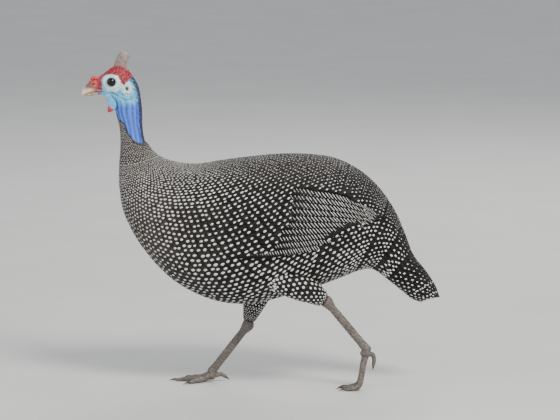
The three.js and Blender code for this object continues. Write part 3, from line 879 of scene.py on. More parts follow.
class Finishes:
    """All the bird's finishes, built once."""

    def __init__(self) -> None:
        """Build each material."""
        self.plumage = FeatherFinish("plumage_dark", (0.006, 0.0055, 0.006), (0.07, 0.056, 0.048)).build()
        self.spot = SpotFinish().build()
        self.skin = BareSkinFinish("bare_skin").build()
        self.wattle = BareSkinFinish("wattle_skin", 0.42, 700, 0.0003).build()
        self.bill = HornFinish("bill_horn", (0.4, 0.24, 0.16), (0.62, 0.45, 0.33), 0.4).build()
        casque_pale, leg_dark = (0.46, 0.37, 0.34), (0.075, 0.062, 0.056)
        self.casque = HornFinish("casque_horn", (0.2, 0.15, 0.14), casque_pale, 0.6, 330, 0.0006).build()
        self.leg = HornFinish("leg_scutes", leg_dark, (0.21, 0.175, 0.15), 0.5, 300, 0.0003).build()
        self.claw = HornFinish("claw_horn", (0.03, 0.022, 0.018), (0.12, 0.09, 0.07), 0.35).build()
        self.eye = EyeFinish().build()


# Feathers


@dataclass
class Coat:
    """A run of feathers as thin closed vanes, with the spots that lie on them.

    Each feather is read off a surface by at(along, across, lift), where along runs from root
    to tip, across from -1 to 1, and lift is in millimetres.
    """

    name: str
    shift: Shift
    finishes: Finishes
    rows: int = 4
    columns: int = 3
    thick: float = 0.35
    tip_power: float = 4.0
    root_width: float = 0.45
    points: list[Array] = field(default_factory=list)
    bake: list[Array] = field(default_factory=list)
    vane: list[Array] = field(default_factory=list)
    tone: list[Array] = field(default_factory=list)
    spot_points: list[Array] = field(default_factory=list)
    spot_bake: list[Array] = field(default_factory=list)
    spot_tone: list[Array] = field(default_factory=list)

    # In millimetres: a vane's rise at its shaft, and a spot's rise, edge and foot round the vane's face
    CAMBER = 0.25
    SPOT_DOME = 0.12
    SPOT_EDGE = 0.02
    SPOT_FOOT = 0.45
    SPOT_SIDES = 8
    PATCH = 0.003

    def outline(self, along: Array) -> Array:
        """How wide the vane is at a share of its length."""
        opening = np.minimum(1, self.root_width + 1.3 * along)
        return opening * np.sqrt(np.maximum(1 - along**self.tip_power, 0.02))

    @staticmethod
    def height(root: Array | float, tip: Array | float, along: Array | float) -> Array | float:
        """The vane's lift along it: steep by the root, level at the tip."""
        return root + (tip - root) * (1 - (1 - along) ** 2)

    def add(self, at: Surface, root: Array, tip: Array, slant: Array,
            bake: Array, tone: Array) -> None:
        """Lay one run of feathers.

        Args:
            at: the surface, for arrays of shape (feathers, rows, columns).
            root: lift of each feather's root.
            tip: lift of each feather's tip.
            slant: how much higher one edge lies than the middle.
            bake: (feathers, 2) places of the roots on the unwrap.
            tone: (feathers,) paleness.
        """
        count = len(root)
        share = np.linspace(0, 1, self.rows + 1) ** 0.85
        across = np.linspace(-1, 1, self.columns)
        along = np.broadcast_to(share[None, :, None], (count, self.rows + 1, self.columns))
        over = np.broadcast_to(across[None, None, :], along.shape) * self.outline(along)
        lift = self.height(root[:, None, None], tip[:, None, None], along)
        lift = lift + slant[:, None, None] * over + self.CAMBER * (1 - over**2)
        thick = self.thick * (1 - 0.5 * along)
        both = np.stack([at(along, over, lift), at(along, over, lift + thick)], axis=1)
        self.points.append(both.reshape(count, -1, 3))
        flat = np.stack([over, along], -1)
        flat = np.broadcast_to(flat[:, None], both.shape[:-1] + (2,)).reshape(count, -1, 2)
        self.vane.append(flat)
        self.bake.append(bake[:, None, :] + self.PATCH * (flat * (0.5, 1.0) - (0.0, 0.5)))
        self.tone.append(np.broadcast_to(tone[:, None], flat.shape[:2]))

    def add_spots(self, at: Surface, along: Array, across: Array, half_along: Array, half_across: Array,
                  lift: Array, bake: Array, tone: Array, lean: float = 0.0, tilt: float = 0.0) -> None:
        """Lay one low domed spot on each feather.

        Args:
            at: the surface, for arrays of shape (feathers, ring points).
            along: where each spot's middle is along its feather.
            across: where it is across its feather.
            half_along: half the spot's length as a share of the feather's length.
            half_across: half its width as a share of the feather's half width.
            lift: lift of the feather's upper face there.
            bake: (feathers, 2) places on the unwrap.
            tone: (feathers,) greyness of the white.
            lean: how far a spot runs along its feather for its reach across it.
            tilt: how much the feather's face rises for a unit across.
        """
        turn = np.linspace(0, 2 * np.pi, self.SPOT_SIDES, endpoint=False) + np.pi / self.SPOT_SIDES
        cos, sin = np.cos(turn)[None], np.sin(turn)[None]
        out = half_across[:, None] * np.sign(sin) * np.abs(sin) ** 0.8
        ring_across = across[:, None] + out
        ring_along = along[:, None] + half_along[:, None] * cos + lean * out
        face = lift[:, None] + tilt * out
        under = at(ring_along, ring_across, face - self.SPOT_FOOT)
        rim = at(ring_along, ring_across, face - self.SPOT_EDGE)
        middle = at(along[:, None], across[:, None], lift[:, None] + self.SPOT_DOME)
        foot = at(along[:, None], across[:, None], lift[:, None] - self.SPOT_FOOT)
        points = np.concatenate([under, rim, middle, foot], axis=1)
        self.spot_points.append(points)
        around = 0.5 + 0.5 * np.stack([np.sin(turn), np.cos(turn)], -1)
        flat = np.vstack([around, 0.7 * around + 0.15, [[0.5, 0.5], [0.5, 0.5]]]) - (0.5, 0.0)
        self.spot_bake.append(bake[:, None, :] + self.PATCH * flat)
        self.spot_tone.append(np.broadcast_to(tone[:, None], points.shape[:2]))

    def vane_faces(self) -> Array:
        """The triangles of one vane, split alike on both faces."""
        width, height = self.columns, self.rows + 1
        half = width * height
        faces = []
        for r in range(height - 1):
            for c in range(width - 1):
                a = r * width + c
                b, d, e = a + 1, a + width, a + width + 1
                faces += [(a, b, e), (a, e, d)]
                faces += [(half + a, half + e, half + b), (half + a, half + d, half + e)]
        rim = list(range(width)) + [r * width + width - 1 for r in range(1, height)]
        rim += [(height - 1) * width + c for c in range(width - 2, -1, -1)]
        rim += [r * width for r in range(height - 2, 0, -1)]
        for p, q in zip(rim, rim[1:] + rim[:1]):
            faces += [(p, half + q, q), (p, half + p, half + q)]
        return np.array(faces)

    def spot_faces(self) -> Array:
        """The triangles of one spot: its foot, wall and crown."""
        n = self.SPOT_SIDES
        faces = []
        for i in range(n):
            j = (i + 1) % n
            faces += [(i, j, n + j), (i, n + j, n + i), (n + i, n + j, 2 * n), (j, i, 2 * n + 1)]
        return np.array(faces)

    def _mesh(self, name: str, points: list[Array], one: Array, bake: list[Array], tone: list[Array],
              material: bpy.types.Material) -> Piece:
        """One joined mesh of many like shapes, with its maps, facing out.

        Args:
            name: the piece's name.
            points: each run's points.
            one: one shape's triangles.
            bake: each run's places on the unwrap.
            tone: each run's paleness.
            material: the finish.

        Returns:
            The new object.
        """
        all_points = np.concatenate(points)
        count, per = all_points.shape[:2]
        per_shape = one[None] + (np.arange(count) * per)[:, None, None]
        inward = self._signed(all_points, one) < 0
        per_shape[inward] = per_shape[inward][:, :, ::-1]
        placed = self.shift.place(all_points.reshape(-1, 3))
        piece = mesh_object(name, placed, per_shape.reshape(-1, 3), material)
        add_map(piece, "OFBake", np.clip(np.concatenate(bake).reshape(-1, 2), 0.001, 0.999))
        add_value(piece, "Tone", np.concatenate(tone).ravel())
        return piece

    @staticmethod
    def _signed(points: Array, one: Array) -> Array:
        """The signed volume of each shape, about its own middle."""
        local = points - points.mean(axis=1, keepdims=True)
        a, b, c = (local[:, one[:, k]] for k in range(3))
        return np.einsum("fij,fij->f", a, np.cross(b, c))

    def build(self, *nodes: str) -> None:
        """Make the vanes and spots into pieces.

        Args:
            nodes: the nodes that the vanes stand for.
        """
        piece = self._mesh(self.name, self.points, self.vane_faces(), self.bake, self.tone,
                           self.finishes.plumage)
        add_map(piece, "Vane", np.concatenate(self.vane).reshape(-1, 2))
        settle(piece, "plumage", *nodes)
        if self.spot_points:
            spots = self._mesh(f"{self.name}_spots", self.spot_points, self.spot_faces(), self.spot_bake,
                               self.spot_tone, self.finishes.spot)
            settle(spots, "plumage")


def in_outline(x: Array, z: Array, outline: Array) -> Array:
    """Which side-view places lie inside a closed outline.

    Args:
        x: the places' x.
        z: their heights.
        outline: the corners in order.

    Returns:
        True or false for each place.
    """
    inside = np.zeros(np.shape(x), dtype=bool)
    for (x0, z0), (x1, z1) in zip(outline, np.roll(outline, -1, axis=0)):
        crosses = (z0 > z) != (z1 > z)
        with np.errstate(divide="ignore", invalid="ignore"):
            reach = (x1 - x0) * (z - z0) / (z1 - z0) + x0
        inside ^= crosses & (x < reach)
    return inside


class WingPatch:
    """The folded wing's region of the flank, read along and across."""

    SAMPLES = 61
    LENGTH = 205.0

    def __init__(self) -> None:
        """Sample both borders evenly by length."""
        self.upper = self._sample(WING_UPPER)
        self.lower = self._sample(WING_LOWER)
        self.outline = np.vstack([self.upper, self.lower[::-1]])

    @staticmethod
    def _sample(border: Sequence[tuple[float, float]]) -> Array:
        """Points evenly spaced along a smooth border."""
        fine = smooth_rows(np.array(border), np.linspace(0, len(border) - 1, 400))
        length = np.concatenate([[0], np.cumsum(np.linalg.norm(np.diff(fine, axis=0), axis=1))])
        even = np.linspace(0, length[-1], WingPatch.SAMPLES)
        return np.stack([np.interp(even, length, fine[:, k]) for k in range(2)], -1)

    def place(self, along: Array, across: Array) -> tuple[Array, Array]:
        """Side-view places, going straight on past the tip.

        Args:
            along: shares of the way from shoulder to tip.
            across: shares from upper to lower border.

        Returns:
            How far along and how high each place is.
        """
        inside = np.clip(along, 0, 1) * (self.SAMPLES - 1)
        past = (np.maximum(along, 1) - 1) * self.LENGTH
        ends = []
        for border in (self.upper, self.lower):
            ends.append([np.interp(inside, np.arange(self.SAMPLES), border[:, k]) for k in range(2)])
        x = ends[0][0] * (1 - across) + ends[1][0] * across + past * 0.97
        z = ends[0][1] * (1 - across) + ends[1][1] * across - past * 0.2
        return x, z

    def swell(self, x: Array, z: Array) -> Array:
        """How far the folded wing lifts the coat: full over the arm, gone past its borders."""
        below_top = np.interp(x, self.upper[:, 0], self.upper[:, 1]) - z
        above_bottom = z - np.interp(x, self.lower[:, 0], self.lower[:, 1])
        rise = smooth_step(-15, 2, below_top) * smooth_step(-1, 14, above_bottom)
        return rise * smooth_step(-96, -50, x) * smooth_step(146, 108, x)

    def in_panel(self, x: Array, z: Array) -> Array:
        """Whether a place is where the flight feathers show instead of coverts."""
        front = np.interp(z, *PANEL_FRONT)
        return in_outline(x, z, self.outline) & (x > front) & (x < np.interp(z, *PANEL_REAR))


@dataclass
class Markings:
    """Where the plumage is pale or dark, and how large its spots are."""

    def back(self, angle: Array) -> Array:
        """One on the back and rump, where spots are small and close, zero on the flank."""
        return smooth_step(1.2, 0.45, np.abs((angle + np.pi) % (2 * np.pi) - np.pi))

    def tone(self, x: Array, back: Array) -> Array:
        """Paleness: grey-brown on breast, neck and back, black on flank, rump and tail."""
        high = back * smooth_step(140, 50, x)
        front = smooth_step(-90, -150, x)
        low = 0.25 * smooth_step(-20, -110, x)
        return np.clip(0.04 + 0.22 * high + 0.55 * front + low, 0, 0.9)

    def radius(self, x: Array, z: Array, back: Array, pitch: Array) -> Array:
        """Half the width of a feather's main spot, in millimetres."""
        size = 1.4 + 0.6 * smooth_step(215, 160, z) * smooth_step(150, 90, x)
        size = size - 0.74 * back
        size = size * (1 - 0.25 * smooth_step(-110, -150, x))
        size = size * (1 - 0.22 * smooth_step(150, 190, x))
        return np.minimum(size, pitch * 0.25)

    def greyness(self, x: Array, z: Array, back: Array) -> Array:
        """How grey the spots are: on the neck's base, the back and most of all the rump's ridge."""
        neck = 0.75 * smooth_step(-120, -155, x) * smooth_step(255, 285, z)
        return neck + (0.2 + 0.55 * smooth_step(70, 140, x)) * back


def pick(site: dict[str, Array], mask: Array) -> dict[str, Array]:
    """The roots of the chosen feathers alone."""
    return {key: value[mask] for key, value in site.items()}


@dataclass
class TrunkCoat:
    """The body feathers of neck, trunk, wing coverts, rump and tail, in staggered rows."""

    shift: Shift
    finishes: Finishes
    patch: WingPatch
    marks: Markings = field(default_factory=Markings)

    # How far the wing lifts the coat, in millimetres, and how much closer rows' feathers are on the back
    SWELL = 3.4
    RIDGE_CROWDING = 0.2
    # A feather's length and half width for its row's pitch, and a row's step
    LENGTH = 2.3
    HALF_WIDTH = 0.66
    ROW_STEP = 0.85
    # Each zone's last place and its feathers in a row
    ZONES = ((12.6, 44), (20.2, 74), (22.2, 58), (23.2, 42), (24.3, 29), (27.1, 20))

    def turns(self, around: int, offset: float) -> Array:
        """The angles of a row's feathers, closer together on the back."""
        even = (np.arange(around) + offset) * 2 * math.pi / around
        return even - self.RIDGE_CROWDING * np.sin(even)

    def rows_between(self, start: float, end: float, around: int) -> list[float]:
        """Places of the rows, spaced so that the pattern stays even.

        Args:
            start: the first row's place.
            end: where the rows end.
            around: feathers in a row.

        Returns:
            The place of each row.
        """
        rows = []
        place = start
        while place < end:
            rows.append(place)
            ring = BODY.at(np.full(49, place), np.linspace(0, 2 * np.pi, 49))
            pitch = np.linalg.norm(np.diff(ring, axis=0), axis=1).sum() / around
            flank = BODY.at(np.array([place - 0.05, place + 0.05]), np.full(2, math.pi / 2))
            place += pitch * self.ROW_STEP / (np.linalg.norm(flank[1] - flank[0]) / 0.1)
        return rows

    def sites(self, start: float, end: float, around: int, seed: int) -> dict[str, Array]:
        """The feathers' roots: place, angle, half width and length, for one zone.

        Args:
            start: the first row's place.
            end: where the rows end.
            around: feathers in a row.
            seed: seed of the unevenness.

        Returns:
            An array with one value for each feather, by name.
        """
        rng = np.random.default_rng(seed)
        parts = []
        for n, row in enumerate(self.rows_between(start, end, around)):
            turns = self.turns(around, 0.5 * (n % 2))
            ring = BODY.at(np.full(around + 1, row), np.append(turns, turns[0] + 2 * math.pi))
            gaps = np.linalg.norm(np.diff(ring, axis=0), axis=1)
            opening = np.diff(np.append(turns, turns[0] + 2 * math.pi))
            wander = rng.normal(0, 0.05, around) * opening
            parts.append(np.stack([np.full(around, row), turns + wander, gaps, opening], -1))
        place, angle, gap, opening = np.concatenate(parts).T
        place = place + rng.normal(0, 0.012, len(place))
        ahead = BODY.at(np.minimum(place + 0.1, BODY.last), angle)
        behind = BODY.at(place - 0.1, angle)
        reach = np.maximum(np.linalg.norm(ahead - behind, axis=-1) / 0.2, 8)
        girth = BODY.at(place[:, None], np.linspace(0, 2 * np.pi, 25)[None])
        pitch = np.linalg.norm(np.diff(girth, axis=1), axis=-1).sum(1) / around
        return {"place": place, "angle": angle, "gap": gap, "opening": opening, "reach": reach,
                "pitch": pitch}

    def surface(self, site: dict[str, Array], span: Array, half: Array) -> Surface:
        """The surface that a set of feathers is read off.

        Args:
            site: the feathers' roots.
            span: each feather's length in stations.
            half: half of each feather's width in radians.

        Returns:
            A function of along, across and lift.
        """
        def at(along: Array, across: Array, lift: Array) -> Array:
            """Points over these feathers, raised where the wing lies under them."""
            place = per_feather(site["place"], along) + per_feather(span, along) * along
            angle = per_feather(site["angle"], along) + per_feather(half, along) * across
            spot = BODY.at(place, angle)
            return BODY.at(place, angle, lift + self.SWELL * self.patch.swell(spot[..., 0], spot[..., 2]))

        return at

    def lay(self, site: dict[str, Array], name: str, seed: int) -> None:
        """Lay one piece's feathers with their spots.

        Args:
            site: the feathers' roots.
            name: the piece's name.
            seed: seed of the small unevenness.
        """
        rng = np.random.default_rng(seed)
        roots = BODY.at(site["place"], site["angle"])
        count = len(roots)
        length = site["pitch"] * self.LENGTH * rng.uniform(0.94, 1.06, count)
        span, half = length / site["reach"], site["opening"] * self.HALF_WIDTH
        at = self.surface(site, span, half)
        coat = Coat(name, self.shift, self.finishes)
        small = np.clip(site["pitch"] / 6.0, 0.35, 1.0)
        root_lift, tip_lift = -1.7 * np.ones(count), 0.1 + 0.35 * small
        bake = np.stack([site["place"] / BODY.last, (site["angle"] / (2 * math.pi)) % 1.0], -1)
        back = self.marks.back(site["angle"])
        tone = np.clip(self.marks.tone(roots[:, 0], back) + rng.normal(0, 0.05, count), 0, 1)
        coat.add(at, root_lift, tip_lift, rng.normal(0, 0.06, count), bake, tone)

        tips = at(np.full(count, 0.8), np.zeros(count), np.zeros(count))
        size = self.marks.radius(tips[:, 0], tips[:, 2], back, site["gap"])
        size = size * rng.uniform(0.85, 1.12, count)
        white = np.clip(tone * 0.35 + self.marks.greyness(tips[:, 0], tips[:, 2], back), 0, 0.9)
        extra = 0.72 * smooth_step(0.3, 0.9, back) * smooth_step(-125, -75, tips[:, 0])
        extra = extra * (tips[:, 0] < 170)
        for along, across, share in ((0.82, 0.0, np.ones(count)), (0.62, -0.5, extra), (0.62, 0.5, extra)):
            on = share > 0.3
            radius = (size * share)[on]
            middle = np.full(count, along) + rng.normal(0, 0.02, count)
            aside = np.full(count, across) + rng.normal(0, 0.05, count)
            lift = coat.height(root_lift, tip_lift, middle) + coat.CAMBER + coat.thick * 0.55
            coat.add_spots(self.surface(pick(site, on), span[on], half[on]), middle[on], aside[on],
                           radius * 1.04 / length[on], radius / (site["gap"] * self.HALF_WIDTH)[on],
                           lift[on], bake[on], white[on], lean=0.1)
        coat.build()

    def zone(self, start: float, end: float, around: int, seed: int) -> dict[str, Array]:
        """A zone's feathers, without those on bare skin or over the flight feathers.

        Args:
            start: the zone's first place.
            end: its last place.
            around: feathers in a row.
            seed: seed of the roots' unevenness.

        Returns:
            The roots, as sites gives them.
        """
        site = self.sites(start, end, around, seed)
        roots = BODY.at(site["place"], site["angle"])
        tips = BODY.at(site["place"] + site["pitch"] * 1.1 / site["reach"], site["angle"])
        feathered = roots[:, 2] < border_height(BARE_BORDER, roots[:, 0])
        return pick(site, feathered & ~self.patch.in_panel(tips[:, 0], tips[:, 2]))

    def build(self) -> None:
        """Lay every zone, the trunk's parted into back, breast, belly and wing coverts."""
        zones, start = [], FEATHERED_PLACE - 0.6
        for number, (end, around) in enumerate(self.ZONES):
            zones.append(self.zone(start, end, around, 11 + number))
            rows = self.rows_between(start, end, around)
            start = 2 * rows[-1] - rows[-2]
        neck, trunk, *rear = zones
        self.lay(neck, "coat_neck", 21)
        roots = BODY.at(trunk["place"], trunk["angle"])
        covert = self.patch.swell(roots[:, 0], roots[:, 2]) > 0.4
        left = roots[:, 1] < 0
        self.lay(pick(trunk, covert & left), "coat_coverts_left", 22)
        self.lay(pick(trunk, covert & ~left), "coat_coverts_right", 23)
        front = trunk["place"] < 16.0
        self.lay(pick(trunk, front & ~covert), "coat_breast", 24)
        upper = np.cos(trunk["angle"]) > 0
        self.lay(pick(trunk, ~front & ~covert & upper), "coat_back", 25)
        self.lay(pick(trunk, ~front & ~covert & ~upper), "coat_belly", 26)
        names = ("coat_rump", "coat_tail_root", "coat_tail_middle", "coat_tail_coverts")
        for number, (site, name) in enumerate(zip(rear, names)):
            self.lay(site, name, 27 + number)


@dataclass
class WingCoat:
    """One folded wing's long flight feathers, with their bars."""

    shift: Shift
    finishes: Finishes
    patch: WingPatch
    side: Side
    secondaries: int = 10
    bar_count: int = 31

    def over(self, along: Array, across: Array, lift: Array) -> Array:
        """Points over the wing's region."""
        x, z = self.patch.place(along, across)
        return over_flank(x, z, lift, self.side)

    def flight(self, coat: Coat) -> None:
        """The secondaries, each with slanted white bars on its outer web.

        Args:
            coat: the coat they are laid in.
        """
        count = self.secondaries
        order = (np.arange(count) + 0.5) / count
        half = 0.66 / count
        start = 0.4 - 0.08 * order
        end = np.interp(order, *FLIGHT_ENDS)
        ones = np.ones(count)

        def at(along: Array, across: Array, lift: Array) -> Array:
            """Points over the secondaries."""
            reach = per_feather(start, along) + per_feather(end - start, along) * along
            return self.over(reach, per_feather(order, along) + half * across, lift)

        bake = unwrap_place(self.over(start, order, np.zeros(count)))
        root, tip, slant = np.interp(order, (0, 0.6, 1), (2.0, 1.6, -0.8)), 2.4, 0.75
        coat.add(at, root, tip * ones, slant * ones, bake, 0.03 * ones)
        rng = np.random.default_rng(30)
        across = 0.2 * ones
        for n in range(self.bar_count):
            along = 0.06 + 0.0302 * n + rng.normal(0, 0.0018, count) + 0.006 * (np.arange(count) % 3)
            along = np.minimum(along, 0.97)
            lift = coat.height(root, tip, along) + slant * across
            lift = lift + coat.CAMBER * (1 - across**2) + coat.thick * 0.6
            coat.add_spots(at, along, across, 0.0056 - 0.0024 * along, 0.74 * ones, lift, bake,
                           0.06 * ones, lean=0.034, tilt=slant - 0.13)

    def primaries(self, coat: Coat) -> None:
        """The tips of the outer feathers past the secondaries.

        Args:
            coat: the coat they are laid in.
        """
        count, start = 4, 0.56
        order = 0.12 + 0.12 * np.arange(count)
        end = 1.05 - 0.02 * np.arange(count)
        ones = np.ones(count)

        def at(along: Array, across: Array, lift: Array) -> Array:
            """Points over the primaries."""
            reach = start + (per_feather(end, along) - start) * along
            return self.over(reach, per_feather(order, along) + 0.075 * across, lift)

        bake = unwrap_place(self.over(start * ones, order, np.zeros(count)))
        coat.add(at, 0.3 * ones, 1.1 * ones, 0.3 * ones, bake, 0.05 * ones)

    def build(self) -> None:
        """Make the wing."""
        long = Coat(f"wing_{self.side.word}_flight", self.shift, self.finishes, rows=16, columns=5, thick=0.4,
                    tip_power=9.0, root_width=1.0)
        self.flight(long)
        self.primaries(long)
        long.build(f"wing_{self.side.word}")


@dataclass
class TailCoat:
    """The long tail feathers, middle pair on top, under the coverts that end the rump."""

    shift: Shift
    finishes: Finishes
    feathers: int = 14
    sweep: float = 116.0

    # Places of the roots and of the middle tip, half a feather's width in millimetres, spots on a feather
    ROOT = 24.3
    TIP = 27.96
    HALF_WIDTH = 7.6
    SPOTS = 6

    def build(self) -> None:
        """Make the tail feathers and their spots."""
        share = np.linspace(-1, 1, self.feathers)
        ones = np.ones(self.feathers)
        end = self.TIP - 0.35 * np.abs(share)
        turn = np.radians(self.sweep) * share

        def at(along: Array, across: Array, lift: Array) -> Array:
            """Points over the tail feathers, as wide in millimetres at the tip as at the root."""
            place = self.ROOT + (per_feather(end, along) - self.ROOT) * along
            widths = np.array(BODY.stations)[:, 4:]
            width = smooth_rows(widths, np.clip(place, 0, BODY.last))[..., 0]
            return BODY.at(place, per_feather(turn, along) + self.HALF_WIDTH / width * across, lift)

        coat = Coat("tail_feathers", self.shift, self.finishes, rows=12, columns=5, thick=0.4, tip_power=7.0)
        root, tip = -2.4, 0.1
        slant = -0.8 * np.where(share >= 0, 1.0, -1.0)
        bake = np.stack([0.93 * ones, (turn / (2 * math.pi)) % 1.0], -1)
        coat.add(at, root * ones, tip * ones, slant, bake, 0.05 * ones)
        for n in range(self.SPOTS):
            across = 0.42 if n % 2 else -0.42
            along = 0.4 + 0.1 * n
            lift = coat.height(root, tip, along) + slant * across + coat.CAMBER * 0.75 + 0.3
            coat.add_spots(at, along * ones, across * ones, 0.015 * ones, 0.15 * ones, lift, bake, 0.1 * ones)
        coat.build("tail")


def limb_frames(path: Array) -> tuple[Array, Array, Array]:
    """The direction, height axis and width axis at each point of a limb's path."""
    ahead = np.vstack([path[1:], path[-1:]])
    behind = np.vstack([path[:1], path[:-1]])
    along = ahead - behind
    along /= np.linalg.norm(along, axis=1)[:, None]
    wide = np.array([0.0, 1.0, 0.0]) - along * along[:, 1:2]
    wide /= np.linalg.norm(wide, axis=1)[:, None]
    return along, np.cross(wide, along), wide


@dataclass
class Limb:
    """A limb through [x, y, z, half depth, half width] rows, read by place and angle."""

    rows: Sequence[Sequence[float]]

    def at(self, place: Array, angle: Array, lift: Array | float = 0.0) -> Array:
        """Points on the limb, the angle measured from its front.

        Args:
            place: places in stations.
            angle: angles from the front.
            lift: height over the surface.

        Returns:
            Points in the working frame.
        """
        place, angle = np.broadcast_arrays(np.asarray(place, float), np.asarray(angle, float))
        table = np.array(self.rows, dtype=float)
        _, tall, wide = limb_frames(table[:, :3])
        whole = smooth_rows(np.hstack([table, tall, wide]), np.clip(place, 0, len(table) - 1))
        lift = np.broadcast_to(np.asarray(lift, float), place.shape)
        up = (np.maximum(whole[..., 3], 0.1) + lift) * np.cos(angle)
        out = (np.maximum(whole[..., 4], 0.1) + lift) * np.sin(angle)
        return whole[..., :3] + whole[..., 5:8] * up[..., None] + whole[..., 8:11] * out[..., None]

    def tube(self, rings: int, sides: int, lift: Relief | float = 0.0) -> Array:
        """The limb's surface, from its first row to its last.

        Args:
            rings: how many rings it has.
            sides: how many points a ring has.
            lift: height over the surface, or a function of place and angle that gives it.

        Returns:
            (rings, sides, 3) points.
        """
        place, angle = ring_grid(np.linspace(0, len(self.rows) - 1, rings), sides, 0.0)
        rise = lift(place, angle) if callable(lift) else lift
        return self.at(place, angle, rise)


@dataclass
class Leg:
    """One leg: drumstick, shank with its scutes, toes and claws."""

    side: Side
    shift: Shift
    finishes: Finishes
    drumstick: Sequence[tuple[float, ...]]
    ankle: tuple[float, float]
    knuckle: tuple[float, float]
    tufts_around: int = 20

    # The feet's distance from the middle plane, the floor gap in millimetres, the toes' spread in degrees
    SPREAD = 27.0
    FLOOR_GAP = 0.02
    TOE_SPREAD = 36.0
    # Each toe's name, turn and length in millimetres
    TOES = (("inner", 1, 33.0), ("middle", 0, 43.0), ("outer", -1, 33.0))

    def thigh(self) -> Limb:
        """The drumstick's flesh and feathers."""
        (x0, z0, d0, w0, y0), (x1, z1) = self.drumstick[0], self.drumstick[1][:2]
        top = [(x0 - 0.45 * (x1 - x0), z0 - 0.45 * (z1 - z0), d0 * 0.55, w0 * 0.5, y0 - 9)]
        (x0, z0, d0, w0, y0), (ax, az) = self.drumstick[-1], self.ankle
        run = math.hypot(ax - x0, az - z0)
        cuff = [(x0 + (ax - x0) * reach / run, z0 + (az - z0) * reach / run, d0 * share, w0 * share, y0)
                for reach, share in ((2.6, 0.84), (5.0, 0.62))]
        rows = top + list(self.drumstick) + cuff
        return Limb([(x, self.side.value * y, z, d, w) for x, z, d, w, y in rows])

    def shank(self) -> Limb:
        """The bare shank."""
        y = self.side.value * self.SPREAD
        x0, z0, depth, width, y0 = self.drumstick[-1]
        (ax, az), (kx, kz) = self.ankle, self.knuckle
        rows = [(x0, self.side.value * y0, z0, depth * 0.66, width * 0.66), (ax, y, az, 7.4, 5.5)]
        for share in (0.14, 0.3, 0.5, 0.7, 0.86):
            rows.append((ax + (kx - ax) * share, y, az + (kz - az) * share, 4.9, 3.8))
        run = math.hypot(kx - ax, kz - az)
        ux, uz = (kx - ax) / run, (kz - az) / run
        rows.append((kx, y, kz, 5.6, 5.6))
        rows.append((kx + 3.4 * ux, y, kz + 3.4 * uz, 4.0, 4.4))
        rows.append((kx + 5.0 * ux, y, kz + 5.0 * uz, 0.8, 0.9))
        return Limb(rows)

    @property
    def flat_footed(self) -> bool:
        """Whether the whole foot is down."""
        return self.knuckle[1] < 20

    def toe_rows(self, turn: float, length: float) -> list[tuple[float, ...]]:
        """A toe's rows from the knuckle to its tip.

        Args:
            turn: one inwards, zero ahead.
            length: the toe's length.

        Returns:
            The limb's rows.
        """
        heading = math.radians(turn * self.TOE_SPREAD * -self.side.value)
        kx, kz = self.knuckle
        y = self.side.value * self.SPREAD
        if self.flat_footed:
            spans = [(2, kz - 3, 4.3), (length * 0.3, 4.9, 3.7), (length * 0.55, 3.2, 3.4),
                     (length * 0.8, 2.6, 2.7), (length, 1.75, 1.8)]
            ahead, aside = math.cos(heading), math.sin(heading)
            return [(kx - ahead * d, y + aside * d, z, t, t * 0.92) for d, z, t in spans]
        bunch = math.sin(heading) * length * 0.5
        scale = length / 43.0
        steps = [(1, kz - 5, 0.1, 4.4), (4, kz - 17, 0.35, 3.8), (6, 19, 0.6, 3.5), (9, 7, 0.85, 3.4),
                 (15, 3.1, 1, 2.9), (15 + 13 * scale, 1.75, 1.15, 1.8)]
        return [(kx - f, y + bunch * share, z, t, t * 0.92) for f, z, share, t in steps]

    def rear_rows(self) -> list[tuple[float, ...]]:
        """The hind toe's rows.

        Returns:
            [x, y, z, half depth, half width] rows.
        """
        kx, kz = self.knuckle
        y = self.side.value * (self.SPREAD - 3)
        points = [(7, -7, 3), (9, -13, 2.6), (8, -20, 2)]
        if self.flat_footed:
            points = [(8, -3, 3), (13, -3.2, 2.6), (17, -6, 2)]
        root = (kx + 1, self.side.value * (self.SPREAD - 2), max(kz - 5, 5), 3.2, 3.0)
        return [root] + [(kx + dx, y, kz + dz, t, t) for dx, dz, t in points]

    def pad_rows(self) -> list[tuple[float, ...]]:
        """The foot's pad under the knuckle.

        Returns:
            [x, y, z, half depth, half width] rows.
        """
        kx, kz = self.knuckle
        y = self.side.value * self.SPREAD
        high = max(kz - 4, 6)
        return [(kx + 4.5, y, high, 3, 3), (kx + 2, y, high, 5.6, 6),
                (kx - 3, y, max(kz - 5, 5.4), 5.2, 6.4), (kx - 7, y, max(kz - 7, 4.6), 3.4, 4.4)]

    def claw_rows(self, toe: Sequence[Sequence[float]], length: float) -> list[tuple[float, ...]]:
        """A claw's rows, curving on from its toe.

        Args:
            toe: the toe's rows.
            length: the claw's length.

        Returns:
            The limb's rows.
        """
        x0, y0, z0 = toe[-2][:3]
        x, y, z, depth = toe[-1][:4]
        along = np.array([x - x0, y - y0, z - z0])
        along /= np.linalg.norm(along)
        rows = []
        for share in np.linspace(0, 1, 7):
            centre = np.array([x, y, z]) + along * ((length + 1.4) * share - 1.4)
            thick = max(min(depth, 1.7) * (1 - share**1.5), 0.2)
            rise = 1.1 * math.sin(math.pi * share) if z < 4 else 0.0
            rows.append((centre[0], centre[1], max(centre[2] + rise, thick + 0.08), thick, thick * 0.8))
        return rows

    def scutes(self, count: float, rise: float) -> Relief:
        """A relief of overlapping plates, strongest on the front of the limb.

        Args:
            count: plates between two rows of the limb.
            rise: height of a plate's edge in millimetres.

        Returns:
            A function of place and angle.
        """
        def relief(place: Array, angle: Array) -> Array:
            """The height of the plates."""
            front = 0.35 + 0.65 * np.clip(np.cos(angle), 0, 1)
            saw = (place * count) % 1.0
            return rise * front * (np.minimum(saw * 1.25, 1.0) - smooth_step(0.86, 1.0, saw)) - rise * 0.5

        return relief

